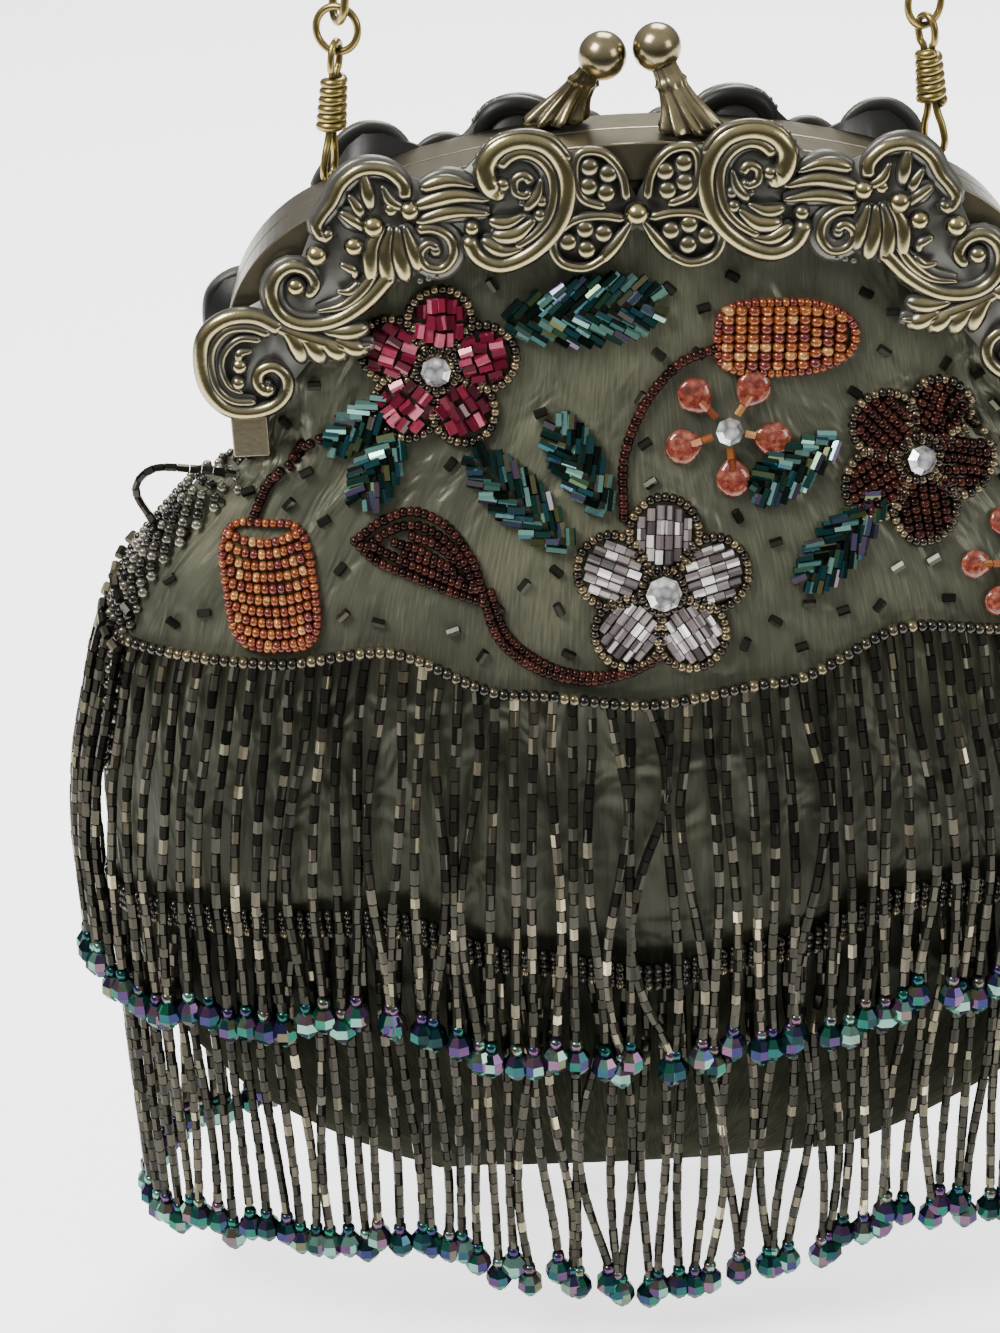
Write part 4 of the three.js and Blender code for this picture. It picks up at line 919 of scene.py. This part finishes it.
buds = {
    "amber_left": {
        "at": (-72.4, -82.2), "half": (8.6, 11.6), "turn": 4, "bow": -1.2, "rows": 2.1, "seed": 1.05},
    "amber_right": {
        "at": (28.3, -38.5), "half": (6.6, 13.2), "turn": -93, "bow": 0.0, "rows": 2.4, "seed": 1.22},
}
for name, bud in buds.items():  # rows of seeds across the bud, with a seed line round it
    beads = []
    angle = math.radians(bud["turn"])
    halfLong, halfTall = bud["half"]
    for tall in np.arange(-halfTall + 1.9, halfTall - 1, bud["rows"]):
        share = tall / halfTall
        taper = 0.55 * max(0.0, share) ** 3 if name == "amber_right" else 0.12 * share ** 2
        reach = (halfLong - 1.5) * (1 - taper)
        row = [turnInto(*bud["at"], angle, s * reach, tall + bud["bow"] * (1 - s * s))
               for s in np.linspace(-1, 1, 9)]
        seedLine(beads, row, bud["seed"], 1.5 * bud["seed"], 1.3, (0.05, 0.95))
    edge = []
    for a in np.linspace(0, 2 * math.pi, 48, endpoint=False):
        c, s = math.cos(a), math.sin(a)
        power = 0.5 if name == "amber_left" or s < 0 else 0.9
        edge.append(turnInto(*bud["at"], angle, halfLong * math.copysign(abs(c) ** power, c),
                             halfTall * math.copysign(abs(s) ** power, s)))
    seedLine(beads, edge, 0.98, closed=True, spread=(0.1, 0.7))
    strewBeads(f"bud_{name}_seeds", seedShape, beads, amberGlass, [f"bud_{name}"], smooth=True)

budStrings = [  # the brown bud is open: strings of seeds round a bare middle
    [(-31, -84.5), (-33, -77), (-37.5, -70.6), (-43.7, -67.8), (-50, -69.4), (-55.4, -73)],
    [(-32.6, -82), (-35.4, -76), (-39.4, -72), (-44, -70.2), (-49, -71.4), (-53, -74)],
    [(-55.4, -73), (-51.6, -76.6), (-45.5, -79.2), (-38.5, -82), (-31.5, -84.6)],
    [(-51.8, -74.2), (-45.8, -77), (-39.5, -79.6), (-33.6, -82)],
    [(-47.8, -73.4), (-42.5, -75), (-37, -78.4)],
    [(-46, -75.4), (-40.6, -77.2), (-35.6, -80)], [(-35.6, -77.4), (-39.6, -73.9), (-44.4, -72.2)],
]
beads = []
for points in budStrings:
    seedLine(beads, smoothRoute(points, 40), 1.0, 1.35, 1.0)
strewBeads("bud_brown_strings", seedShape, beads, brownGlass, ["bud_brown"], smooth=True)
strewBeads("outline_seeds", seedShape, outlineSeeds, bronzeGlass, smooth=True)

stems = {
    "right": [(14.5, -39.8), (7.5, -42.5), (1, -49.5), (-3.2, -59), (-3.8, -70)],
    "left": [(-75, -70.5), (-70.5, -62.5), (-63, -55.5), (-60, -54)],
    "brown": [(-31.4, -83.5), (-28.4, -92), (-21, -98), (-12.5, -100.4), (-5, -99.6), (0.5, -97.4)],
}
for name, points in stems.items():
    beads = []
    seedLine(beads, smoothRoute(points, 60), 1.05, 1.3, 1.0)
    if name == "brown":
        seedLine(beads, smoothRoute([(x + 1.5, z + 0.9) for x, z in points], 60), 0.95, 1.3, 0.8)
    strewBeads(f"stem_{name}_seeds", seedShape, beads, brownGlass, [f"stem_{name}"], smooth=True)

scatter = {
    "tries": 2500, "halfWidth": 96, "low": -98, "high": -26, "apart": 6.6, "aboveHem": 5, "lift": 0.7,
    "bead": (0.9, 0.9, 1.25),
}
brownBud = (-43.5, -76, 14)
taken = [(*f["at"], f["radius"] + 2) for f in flowers.values()]  # across, up, radius
taken += [(*b["at"], max(b["half"]) + 2) for b in buds.values()] + [brownBud]
taken += [((b[0] + t[0]) / 2, (b[1] + t[1]) / 2, math.dist(b, t) / 2 + 1) for b, t, _ in leaves.values()]
dots = []
for back in (False, True):
    spots = []
    for _ in range(scatter["tries"]):
        x = rng.uniform(-scatter["halfWidth"], scatter["halfWidth"])
        z = rng.uniform(scatter["low"], scatter["high"])
        alone = all(math.dist((x, z), s) > scatter["apart"] for s in spots)
        if not alone or z <= hemHeight(tiers["upper"]["hem"], x) + scatter["aboveHem"]:
            continue
        if back or all(math.dist((x, z), t[:2]) > t[2] for t in taken):
            spot = onCloth(x, z, scatter["lift"], back)
            if spot and abs(x) < 62 + (-30 - z) * 0.62:  # kept off the side seams
                spots.append((x, z))
                dots.append((spot[0], (1, 0, rng.normal()), scatter["bead"], rng.uniform(0.15, 0.5)))
strewBeads("scattered_cut_beads", hexShape, dots, smokeGlass)
print("embroidery laid")


# frame rails

railSize = {"wall": 1.2, "depth": 10.0, "seam": 0.2, "flange": 7.0, "bevel": 0.3}


def rollRail():
    # one half of the frame: an angle section carried up the leg and spun round the corners and the crown
    bm = bmesh.new()
    near, far = -railSize["seam"], -railSize["seam"] - railSize["depth"]
    lip, inner, edge = far + railSize["wall"], frameHalf - railSize["wall"], frameHalf - railSize["flange"]
    outline = [(frameHalf, near), (frameHalf, far), (edge, far), (edge, lip), (inner, lip), (inner, near)]
    corners = [bm.verts.new((x, y, legBottom)) for x, y in outline]
    face = bm.faces.new(corners)
    rest = bmesh.ops.extrude_face_region(bm, geom=[face])["geom"]
    bmesh.ops.translate(bm, verts=[g for g in rest if isinstance(g, bmesh.types.BMVert)],
                        vec=(0, 0, cornerZ - legBottom))
    last = [g for g in rest if isinstance(g, bmesh.types.BMFace)]
    for centre, turn, steps in (((cornerX, 0, cornerZ), meetAngle, 18),
                                ((0, 0, -arch["crown"]), math.pi - 2 * meetAngle, 30),
                                ((-cornerX, 0, cornerZ), meetAngle, 18)):
        geom = last + list({e for f in last for e in f.edges}) + list({v for f in last for v in f.verts})
        spun = bmesh.ops.spin(bm, geom=geom, cent=centre, axis=(0, -1, 0), angle=turn, steps=steps)
        last = [g for g in spun["geom_last"] if isinstance(g, bmesh.types.BMFace)]
    rest = bmesh.ops.extrude_face_region(bm, geom=last)["geom"]
    bmesh.ops.translate(bm, verts=[g for g in rest if isinstance(g, bmesh.types.BMVert)],
                        vec=(0, 0, legBottom - cornerZ))
    bmesh.ops.holes_fill(bm, edges=[e for e in bm.edges if e.is_boundary])
    bmesh.ops.recalc_face_normals(bm, faces=bm.faces)
    sharp = [e for e in bm.edges if len(e.link_faces) == 2 and e.calc_face_angle(0) > 1.0]
    bmesh.ops.bevel(bm, geom=sharp, offset=railSize["bevel"], offset_type="OFFSET", affect="EDGES",
                    segments=2, profile=0.5, material=-1)
    return bm


for word, turn in (("front", 0.0), ("back", math.pi)):
    bm = rollRail()
    bmesh.ops.rotate(bm, verts=bm.verts, cent=(0, 0, 0), matrix=Matrix.Rotation(turn, 3, "Z"))
    seatShape(bm, f"rail_{word}_rolled", railBrass, [f"rail_{word}"], smooth=False)
for word in ("left", "right"):
    finishNode(f"hinge_pin_{word}", railBrass)
print("rails rolled")


# scrollwork

relief = {"back": 10.5, "face": 11.7, "rise": 1.3, "girth": 1.45, "pad": 2.5, "padRise": 0.4,
          "stud": 1.75, "knob": 2.3}
bandEdges = [  # distance from the middle, upper edge, lower edge
    (0, -9.5, -15.5), (3, -4, -17), (6, -0.8, -21.5), (10, -0.6, -22.8), (13, -0.6, -21.5), (16, 2.4, -19),
    (20.5, 3.6, -20.4), (25, 2.4, -21.6), (28, 0, -21), (31, -3, -15.5), (34, -3.6, -13.5), (35, -3.8, -20),
    (39, -4.8, -21.6), (42, -3.6, -23), (46, -1.9, -24.2), (50, -1.8, -26), (53, -4, -34.5), (56, -8, -37),
    (59, -11, -38), (62, -18, -38.5), (65, -20, -42), (67, -22.5, -46.5), (70, -26, -48.4), (74, -28, -49),
    (78.5, -29.2, -47.6), (81.4, -32.6, -44), (83, -36, -40),
]
# ridges of the casting on the right half: the line that each follows, and its radius at both ends
ridges = {
    "end volute": ([
        (66.4, -31.8), (71.4, -29), (76.8, -29.2), (81, -32.3), (82.2, -37.5), (81.4, -42.9),
        (78.3, -46.9), (74, -47.9), (69.4, -46.9), (66.6, -44.1), (66.6, -40.9), (68.8, -38.9),
        (71.4, -39.8), (72, -42.1), (70.5, -43.8), (69.1, -42.8),
    ], 1.3, 0.9),
    "volute flute": ([
        (68.8, -32.5), (72.5, -31), (76.8, -31.3), (79.7, -34.3), (80.5, -38.3), (79.6, -42.8),
        (76.8, -45.4), (72.6, -45.8),
    ], 0.8, 0.6),
    "volute inner flute": ([
        (70.6, -33.5), (74.5, -33.1), (77.4, -35.3), (78.5, -38.6), (77.4, -42.3), (74.9, -43.8),
    ], 0.6, 0.4),
    "volute stalk": ([(72.5, -35.5), (74.9, -36), (75.2, -37.9)], 0.5, 0.6),
    "leaf spine": ([(69, -30.4), (62.6, -33.4), (55.5, -35.6), (49.6, -35.4)], 1.2, 0.6),
    "leaf rib a": ([(67, -30.6), (64.4, -34), (63, -38.6)], 1.0, 1.2),
    "leaf rib b": ([(64, -32), (61, -35.4), (59.2, -39)], 1.0, 1.3),
    "leaf rib c": ([(60.6, -33.2), (57.4, -35.8), (55, -38.4)], 1.0, 1.3),
    "leaf rib d": ([(57, -34), (53.6, -35.8), (50.8, -37)], 1.0, 1.2),
    "leaf rib e": ([(59, -32.4), (54.6, -32.8), (50.4, -32)], 0.9, 1.2),
    "s scroll": ([
        (61.6, -25.6), (59.8, -23.2), (61.2, -20.4), (64.2, -19.6), (67, -21.6), (68, -25.4),
        (66.2, -29.2), (62.2, -31), (56.4, -30.4), (50.6, -27), (45.4, -21.6),
    ], 0.9, 1.3),
    "s scroll edge": ([(60, -28.4), (55, -27.6), (51, -24.6), (48, -20.4)], 0.5, 0.9),
    "fan rib a": ([(46.4, -12.4), (49, -17), (49.4, -23.4)], 0.8, 1.2),
    "fan rib b": ([(45.2, -12.6), (46.6, -18), (46, -24.4)], 0.8, 1.2),
    "fan rib c": ([(44, -12.8), (44, -18), (42.8, -23.6)], 0.8, 1.2),
    "fan rib d": ([(42.8, -12.6), (41.6, -17), (40.4, -21.6)], 0.7, 1.0),
    "small stroke a": ([(56, -24.6), (53.4, -24.8), (51.6, -23)], 0.5, 0.6),
    "small stroke b": ([(55, -19.4), (52.6, -20.8), (52.4, -22.4)], 0.7, 0.5),
    "corner loop": ([
        (56, -13), (57.6, -14.4), (58.8, -12.4), (57.6, -10.2), (55.6, -7.8), (53.6, -4.4), (50, -2),
        (45.6, -2.3), (42.6, -5), (42.4, -8),
    ], 0.8, 1.1),
    "loop bar": ([(49.6, -2.6), (48.6, -9.6)], 0.8, 0.9),
    "loop stroke a": ([(54.4, -9.6), (51.6, -11.6), (50.4, -13.4)], 0.8, 0.6),
    "loop stroke b": ([(52.6, -6.4), (51, -9), (50.4, -11)], 0.6, 0.8),
    "loop stroke c": ([(46.4, -5), (45, -8), (42.6, -9.6)], 0.6, 0.8),
    "shell curl": ([
        (40.6, -13.6), (37.4, -13.6), (34.6, -15.4), (34, -18.6), (36, -21.2), (39, -20.8), (40.2, -18.2),
        (38.4, -16.4), (36.6, -17.6),
    ], 0.8, 0.7),
    "long rib a": ([(27, -8.6), (33.6, -7.6), (41, -9.4)], 0.8, 1.1),
    "long rib b": ([(27, -11.2), (34, -10.6), (40.6, -12.2)], 0.7, 1.0),
    "long rib c": ([(29.4, -6), (34.4, -4.8), (39.6, -6)], 0.6, 1.0),
    "c scroll": ([
        (24.2, -6.4), (25.6, -7.2), (27.2, -5.4), (27.4, -2.2), (25, 0.8), (20.8, 2), (16.4, 0.8),
        (13.6, -2.6), (12.6, -7.2), (13.6, -12.4), (16.4, -16.6), (20.6, -19.8), (25.4, -21.2),
        (29.4, -19.4), (31.4, -15.4),
    ], 1.6, 1.2),
    "c scroll flute": ([
        (25.2, -2.8), (23, -0.8), (20.4, -0.2), (17.6, -1.4), (15.6, -4.2), (15.2, -8), (16.2, -12.2),
        (18.8, -15.4), (22.6, -17.8),
    ], 1.0, 0.7),
    "c scroll rim": ([(28.6, -2.6), (26.4, 1.6), (21, 3.4), (15.6, 2.2), (12, -2)], 0.5, 0.7),
    "c scroll inner": ([
        (19, -6), (20.4, -4.4), (22.2, -5.2), (22.2, -7.4), (20.4, -8.2), (19.4, -7.2),
    ], 0.8, 0.6),
    "c stroke": ([(17.4, -5), (18.4, -8.4), (20.6, -11)], 0.5, 0.8),
    "c leaf a": ([(18.6, -12.6), (22.4, -15.4), (27, -15.6)], 0.8, 1.2),
    "c leaf b": ([(21, -18), (25, -18.4), (28.8, -16)], 0.7, 1.1),
    "c leaf c": ([(20.4, -11.6), (24, -13.2), (27.4, -12.6)], 0.6, 0.9),
    "upper wing": ([
        (1.8, -10), (2.8, -4.8), (6, -1), (10.2, -0.8), (11.4, -4.6), (10, -9.2), (5.6, -11),
    ], 0.7, 0.7),
    "lower wing": ([
        (2.2, -13.4), (7, -12.6), (12, -13.4), (15.6, -17), (14.2, -21.2), (9.6, -22.4), (5.4, -20.2),
    ], 0.7, 0.7),
    "feeler": ([(0.8, -13.6), (3.6, -17.6), (6.8, -21.6)], 0.6, 0.9),
}
# broad low swells under the scrolls, which round the plate between the ridges
padded = [
    "volute flute", "leaf spine", "leaf rib b", "s scroll", "s scroll edge", "fan rib b", "fan rib d",
    "corner loop", "loop stroke a", "shell curl", "long rib b", "long rib c", "c scroll flute", "c leaf a",
    "c leaf b",
]
berries = [  # across, up, radius
    (63.4, -23.4, 1.9), (59.1, -17.6, 2.2), (48.4, -12.6, 2.2), (52.2, -16.2, 2.0), (41.6, -10, 2.0),
    (45, -9.6, 1.5), (75.1, -38.5, 1.7), (75.6, -41.9, 1.5), (70.2, -42.3, 0.9), (37.2, -17.8, 1.3),
    (17.4, -9.4, 1.3), (17.8, -12, 1.4), (21, -9.6, 0.9), (30.4, -13.8, 1.6), (24.4, -6, 1.5),
    (27.6, 0.8, 0.7), (28.6, -0.6, 0.7), (29.2, -2.2, 0.7), (29.4, -3.8, 0.7), (26.2, 2, 0.7),
    (24.6, 2.8, 0.7), (40.4, -23.6, 0.7), (38.8, -23.2, 0.7), (37.2, -22.8, 0.7),
]
wingDots = [  # across, up
    (5.2, -4.8), (8.6, -3.4), (8.8, -7), (5.6, -8.4), (6.2, -16), (9.6, -15), (9.4, -18.9), (12.8, -17.3),
]


def castHalf(bm, side):
    # the band behind the ridges: a strip of faces, given its thickness by an extrusion
    strip, last = [], None
    for x, high, low in bandEdges:
        pair = [bm.verts.new((side * x, -relief["back"], z)) for z in (high, low)]
        if last:
            strip.append(bm.faces.new([last[0], last[1], pair[1], pair[0]]))
        last = pair
    rest = bmesh.ops.extrude_face_region(bm, geom=strip, use_keep_orig=True)["geom"]
    top = [g for g in rest if isinstance(g, bmesh.types.BMVert)]
    bmesh.ops.translate(bm, verts=top, vec=(0, relief["back"] - relief["face"], 0))
    for x, z, radius in berries:
        ball = bmesh.ops.create_icosphere(bm, subdivisions=2, radius=radius)["verts"]
        bmesh.ops.translate(bm, verts=ball, vec=(side * x, -relief["face"] - 0.4 * radius, z))
    for x, z in wingDots:  # low domed studs
        stud = bmesh.ops.create_icosphere(bm, subdivisions=3, radius=relief["stud"])["verts"]
        bmesh.ops.scale(bm, verts=stud, vec=(1, 0.6, 1))
        bmesh.ops.translate(bm, verts=stud, vec=(side * x, -relief["face"] - 1, z))


def castScrollwork():
    wires, swells = [], []
    for side in (-1, 1):
        for name in padded:
            line = smoothRoute(ridges[name][0], 30)
            radii = relief["pad"] * np.sin(np.linspace(0.25, math.pi - 0.25, 30)) ** 0.5
            swells.append((np.column_stack([side * line[:, 0], np.zeros(30), line[:, 1]]), radii, False))
        for points, first, last in ridges.values():
            count = max(12, 5 * len(points))
            line = smoothRoute(points, count)
            radii = np.linspace(first, last, count) * relief["girth"]
            if len(points) < 5:  # short strokes are lobes, plump in the middle
                radii *= 0.6 + 0.7 * np.sin(math.pi * np.linspace(0, 1, count) ** 1.2)
            radii[0] *= 0.5
            radii[-1] *= 0.5
            lift = -relief["face"] - relief["rise"] + 0.45 * radii  # broad ridges sit deeper in the plate
            wires.append((np.column_stack([side * line[:, 0], lift, line[:, 1]]), radii, False))
    bm = bendWires(swells, 2)
    for vert in bm.verts:
        vert.co.y = -relief["face"] + vert.co.y * relief["padRise"]
    swellMesh = fromBmesh(bm, "swells")
    bm = bendWires(wires, 2)
    bm.from_mesh(swellMesh)
    bpy.data.meshes.remove(swellMesh)
    for side in (-1, 1):
        castHalf(bm, side)
    ball = bmesh.ops.create_icosphere(bm, subdivisions=3, radius=relief["knob"])["verts"]
    bmesh.ops.translate(bm, verts=ball, vec=(0, -relief["face"] - 1, -12.5))
    bmesh.ops.recalc_face_normals(bm, faces=bm.faces)
    return bm


for word, turn in (("front", 0.0), ("back", math.pi)):
    bm = castScrollwork()
    bmesh.ops.rotate(bm, verts=bm.verts, cent=(0, 0, 0), matrix=Matrix.Rotation(turn, 3, "Z"))
    seatShape(bm, f"scrollwork_{word}_cast", castBrass, [f"scrollwork_{word}"])
print("scrollwork cast")


# kiss lock

clasps = {
    "front": {"foot": (11, -5.2, 0.4), "ball": (4.95, -0.6, 14.8)},
    "back": {"foot": (-14, 5.2, 0.4), "ball": (-4.95, 0.6, 13.4)},
}
claspBall = 4.5
claspRadii = [  # share of the height, radius
    (0, 5.2), (0.08, 5.3), (0.2, 4.6), (0.42, 3.2), (0.6, 2.5), (0.66, 2.9), (0.7, 2.3), (1, 1.9),
]
for word, clasp in clasps.items():
    foot, ball = Vector(clasp["foot"]), Vector(clasp["ball"])
    elbow = Vector((foot.x + (ball.x - foot.x) * 0.45, foot.y, foot.z + (ball.z - foot.z) * 0.4))
    bm = bmesh.new()
    bmesh.ops.create_cone(bm, cap_ends=True, segments=64, radius1=1, radius2=1, depth=1)
    bmesh.ops.translate(bm, verts=bm.verts, vec=(0, 0, 0.5))
    upright = [e for e in bm.edges if abs(e.verts[0].co.z - e.verts[1].co.z) > 0.5]
    bmesh.ops.subdivide_edges(bm, edges=upright, cuts=22)
    for vert in bm.verts:
        share = vert.co.z
        angle = math.atan2(vert.co.y, vert.co.x)
        flute = 0.2 * (1 - share) ** 1.2 * math.cos(9 * angle + share * 3)  # nine flutes that fade out
        radius = np.interp(share, *zip(*claspRadii)) * (1 + flute)
        middle = foot * (1 - share) ** 2 + elbow * 2 * share * (1 - share) + ball * share ** 2
        tilt = share * (-0.5 if ball.x > foot.x else 0.5)
        vert.co = middle + Vector((radius * math.cos(angle), radius * 0.8 * math.sin(angle),
                                   radius * math.cos(angle) * tilt))
    head = bmesh.ops.create_uvsphere(bm, u_segments=32, v_segments=20, radius=claspBall)["verts"]
    bmesh.ops.translate(bm, verts=head, vec=ball)
    bmesh.ops.recalc_face_normals(bm, faces=bm.faces)
    seatShape(bm, f"clasp_{word}_turned", claspBrass, [f"clasp_{word}"])
print("kiss lock turned")


# connectors, rings and chain

hook = {"x": 56.3, "y": -4.6, "z": -5.6, "lean": 7, "height": 25.2, "wire": 1.4}
hookOutline = [  # right half of the bent wire: across, up
    (0, 0), (1.9, 0.5), (2.7, 2.2), (2.3, 5), (1.0, 9), (0.9, 18.5), (1.9, 20.5), (2.1, 23), (1.3, 24.7),
    (0, 25.2),
]
coil = {"bottom": 9.2, "top": 18.6, "low": 2.0, "high": 1.6, "turns": 6, "wire": 0.94}
ringSize = {"radius": 4.0, "wire": 1.4}
# twists: degrees that the first and the last link turn, to lie across the rings
link = {"halfWidth": 3.1, "wire": 1.6, "pitch": 12.0, "twists": (32, -20)}
slack = 0.4  # room between wires that hang in each other
handleRadius = 33.0
hangDrop = -frameTop / mm
ringRise = hook["height"] - (hook["wire"] + ringSize["wire"]) / 2 - slack + ringSize["radius"]
chainRise = ringRise + ringSize["radius"] - (ringSize["wire"] + link["wire"]) / 2 - slack
lean = math.radians(hook["lean"])

for side, word, twist in ((-1, "left", 70), (1, "right", 58)):
    half = smoothRoute(hookOutline, 40)
    route = np.concatenate([half, half[-2:0:-1] * [-1, 1]])
    loop = np.column_stack([route[:, 0], np.zeros(len(route)), route[:, 1]])
    turns = np.linspace(0, 1, coil["turns"] * 20)
    reach = coil["low"] + (coil["high"] - coil["low"]) * turns
    angles = turns * coil["turns"] * 2 * math.pi
    helix = np.column_stack([reach * np.cos(angles), reach * np.sin(angles),
                             coil["bottom"] + (coil["top"] - coil["bottom"]) * turns])
    place = (Matrix.Translation((side * hook["x"], hook["y"], hook["z"]))
             @ Matrix.Rotation(-side * lean, 4, "Y"))
    bm = bendWires([(loop, hook["wire"] / 2, True), (helix, coil["wire"], False)], 3)
    facing = Matrix.Rotation(math.radians(twist) * -side, 4, "Z")
    bmesh.ops.transform(bm, matrix=place @ facing, verts=bm.verts)
    seatShape(bm, f"connector_{word}_wire", wireBrass, [f"connector_{word}"])
    around = np.linspace(0, 2 * math.pi, 48, endpoint=False)
    hoop = np.column_stack([np.cos(around), np.zeros(48), np.sin(around)]) * ringSize["radius"]
    bm = bendWires([(hoop, ringSize["wire"] / 2, True)], 4)
    facing = Matrix.Translation((0, 0, ringRise)) @ Matrix.Rotation(math.radians(twist - 90) * -side, 4, "Z")
    bmesh.ops.transform(bm, matrix=place @ facing, verts=bm.verts)
    seatShape(bm, f"ring_{word}_wire", wireBrass, [f"ring_{word}"])


def chainRoute():
    footX, footZ = hook["x"] - chainRise * math.sin(lean), hook["z"] + chainRise * math.cos(lean)
    apex = hangDrop + link["halfWidth"] + link["wire"] / 2
    springing = apex - handleRadius
    points = [(footX + (handleRadius - footX) * s, hook["y"] * (1 - s), footZ + (springing - footZ) * s)
              for s in (0, 1 / 3, 2 / 3)]
    points += [(handleRadius * math.cos(a), 0, springing + handleRadius * math.sin(a))
               for a in np.arange(5) * math.pi / 8]
    return smoothRoute(points + [(-x, y, z) for x, y, z in points[-2::-1]], 600)


def bendChain():
    route = chainRoute()
    run = runLengths(route)
    count = math.ceil(run[-1] / link["pitch"]) // 2 * 2 + 1  # odd, so that both end links lie alike
    pitch = run[-1] / count
    straight = (pitch + link["wire"]) / 2 - link["halfWidth"] - 0.1
    around = np.linspace(0, 2 * math.pi, 40, endpoint=False)
    oval = np.column_stack([np.cos(around), np.zeros(40), np.sin(around)]) * link["halfWidth"]
    oval[:, 0] += np.sign(np.cos(around)) * straight
    wires = []
    for i in range(count):
        d = (i + 0.5) * pitch
        middle = pointAlong(route, run, d)
        ahead = Vector(pointAlong(route, run, d + 1) - pointAlong(route, run, d - 1)).normalized()
        face = (Vector((0, 1, 0)) - ahead * ahead.y).normalized()
        basis = Matrix((ahead, face, ahead.cross(face))).transposed()
        near, far = bounded(1 - i / 6), bounded(1 - (count - 1 - i) / 6)  # fade over six links
        skew = link["twists"][0] * near + link["twists"][1] * far
        turn = math.pi / 2 * ((i + 1) % 2) + math.radians(skew)
        spun = np.array(basis @ Matrix.Rotation(turn, 3, "X"))
        wires.append((oval @ spun.T + middle, link["wire"] / 2, True))
    return bendWires(wires, 2)


seatShape(bendChain(), "chain_links", wireBrass, ["chain"])
print("handle joined")


# floor, light and camera

studio = {
    "floorGap": 0.012, "floorSize": 6.0, "paleFrom": -0.2, "dimFrom": -0.45, "pale": "#ffffff",
    "dim": "#242424", "room": 0.16, "sky": 0.85, "glow": 1.7, "backdrop": 2.0, "middleDown": 0.11,
}
camera = {"at": (-37.4, -439.3, 121.8), "back": (-0.0185, -0.8828, 0.4695), "yaw": -1.2, "roll": 2.3,
          "focal": 2400, "photoHeight": 1333}

low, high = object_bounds()
bm = bmesh.new()
bmesh.ops.create_grid(bm, x_segments=1, y_segments=1, size=studio["floorSize"] / 2)
bmesh.ops.translate(bm, verts=bm.verts, vec=(0, 0, low.z - studio["floorGap"]))
floor = bpy.data.objects.new("floor", fromBmesh(bm, "floor"))
bpy.context.scene.collection.objects.link(floor)
# matt paper, plain and pale to the eye; the brass mirrors it dim towards the viewer, as in a dark studio
paper, tree, bsdf = startMaterial("matt white paper")
place = addNode(tree, "ShaderNodeTexCoord")
parts = addNode(tree, "ShaderNodeSeparateXYZ", inputs={"Vector": place.outputs["Object"]})
near = addNode(tree, "ShaderNodeMapRange", inputs={
    "Value": parts.outputs["Y"], "From Min": studio["dimFrom"], "From Max": studio["paleFrom"]})
seen = addNode(tree, "ShaderNodeLightPath")
pale = addNode(tree, "ShaderNodeMath", {"operation": "MAXIMUM"}, {
    0: near.outputs["Result"], 1: seen.outputs["Is Camera Ray"]})
ramp = addNode(tree, "ShaderNodeValToRGB", inputs={"Fac": pale.outputs[0]}, stops=[
    (0.0, studio["dim"]), (1.0, studio["pale"])])
fillInputs(tree, bsdf, {
    "Base Color": ramp.outputs["Color"], "Roughness": 0.9,
    "Emission Color": ramp.outputs["Color"], "Emission Strength": studio["glow"]})
floor.data.materials.append(paper)
floor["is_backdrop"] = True

world = bpy.data.worlds.new("studio")
world.use_nodes = True
air = world.node_tree
# a room that is light overhead and dim at the sides, behind a pale backdrop
aim = addNode(air, "ShaderNodeTexCoord")
parts = addNode(air, "ShaderNodeSeparateXYZ", inputs={"Vector": aim.outputs["Generated"]})
sky = addNode(air, "ShaderNodeMapRange", inputs={
    "Value": parts.outputs["Z"], "From Min": -0.1, "From Max": 0.8,
    "To Min": studio["room"], "To Max": studio["sky"]})
seen = addNode(air, "ShaderNodeLightPath")
drop = addNode(air, "ShaderNodeMath", {"operation": "MULTIPLY"}, {
    0: seen.outputs["Is Camera Ray"], 1: studio["backdrop"]})
strength = addNode(air, "ShaderNodeMath", {"operation": "MAXIMUM"}, {
    0: sky.outputs["Result"], 1: drop.outputs[0]})
fillInputs(air, air.nodes["Background"], {
    "Color": hexColour("#ffffff"), "Strength": strength.outputs[0]})
bpy.context.scene.world = world

middle = Vector((0, 0, frameTop - studio["middleDown"]))
lamps = [  # name, place from the middle of the bag and size in metres, watts
    ("key", (-0.95, -0.6, 1.35), 0.7, 42),
    ("fill", (1.3, -0.9, 0.7), 0.6, 7),
    ("top", (0.2, 0.9, 1.3), 0.8, 30),
]
for name, at, size, power in lamps:
    lamp = bpy.data.lights.new(name, "AREA")
    lamp.size = size
    lamp.energy = power
    holder = bpy.data.objects.new(name, lamp)
    holder.location = middle + Vector(at)
    holder.rotation_mode = "QUATERNION"
    holder.rotation_quaternion = (-Vector(at)).to_track_quat("-Z", "Y")
    bpy.context.scene.collection.objects.link(holder)

back = Vector(camera["back"]).normalized()
yaw, roll = math.radians(camera["yaw"]), math.radians(camera["roll"])
right = Vector((math.cos(yaw), math.sin(yaw), 0))
up = back.cross(right)
turned = Matrix((right * math.cos(roll) - up * math.sin(roll),
                 right * math.sin(roll) + up * math.cos(roll), back))
lens = bpy.data.cameras.new("camera")
lens.sensor_width = 36
lens.lens = camera["focal"] / camera["photoHeight"] * 36  # the sensor's long side is the photo's height
lens.clip_start = 0.01
viewer = bpy.data.objects.new("camera", lens)
viewer.matrix_world = (Matrix.Translation(Vector(camera["at"]) * mm + Vector((0, 0, frameTop)))
                       @ turned.transposed().to_4x4())
bpy.context.scene.collection.objects.link(viewer)
bpy.context.scene.camera = viewer

low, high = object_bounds()
print("studio lit")
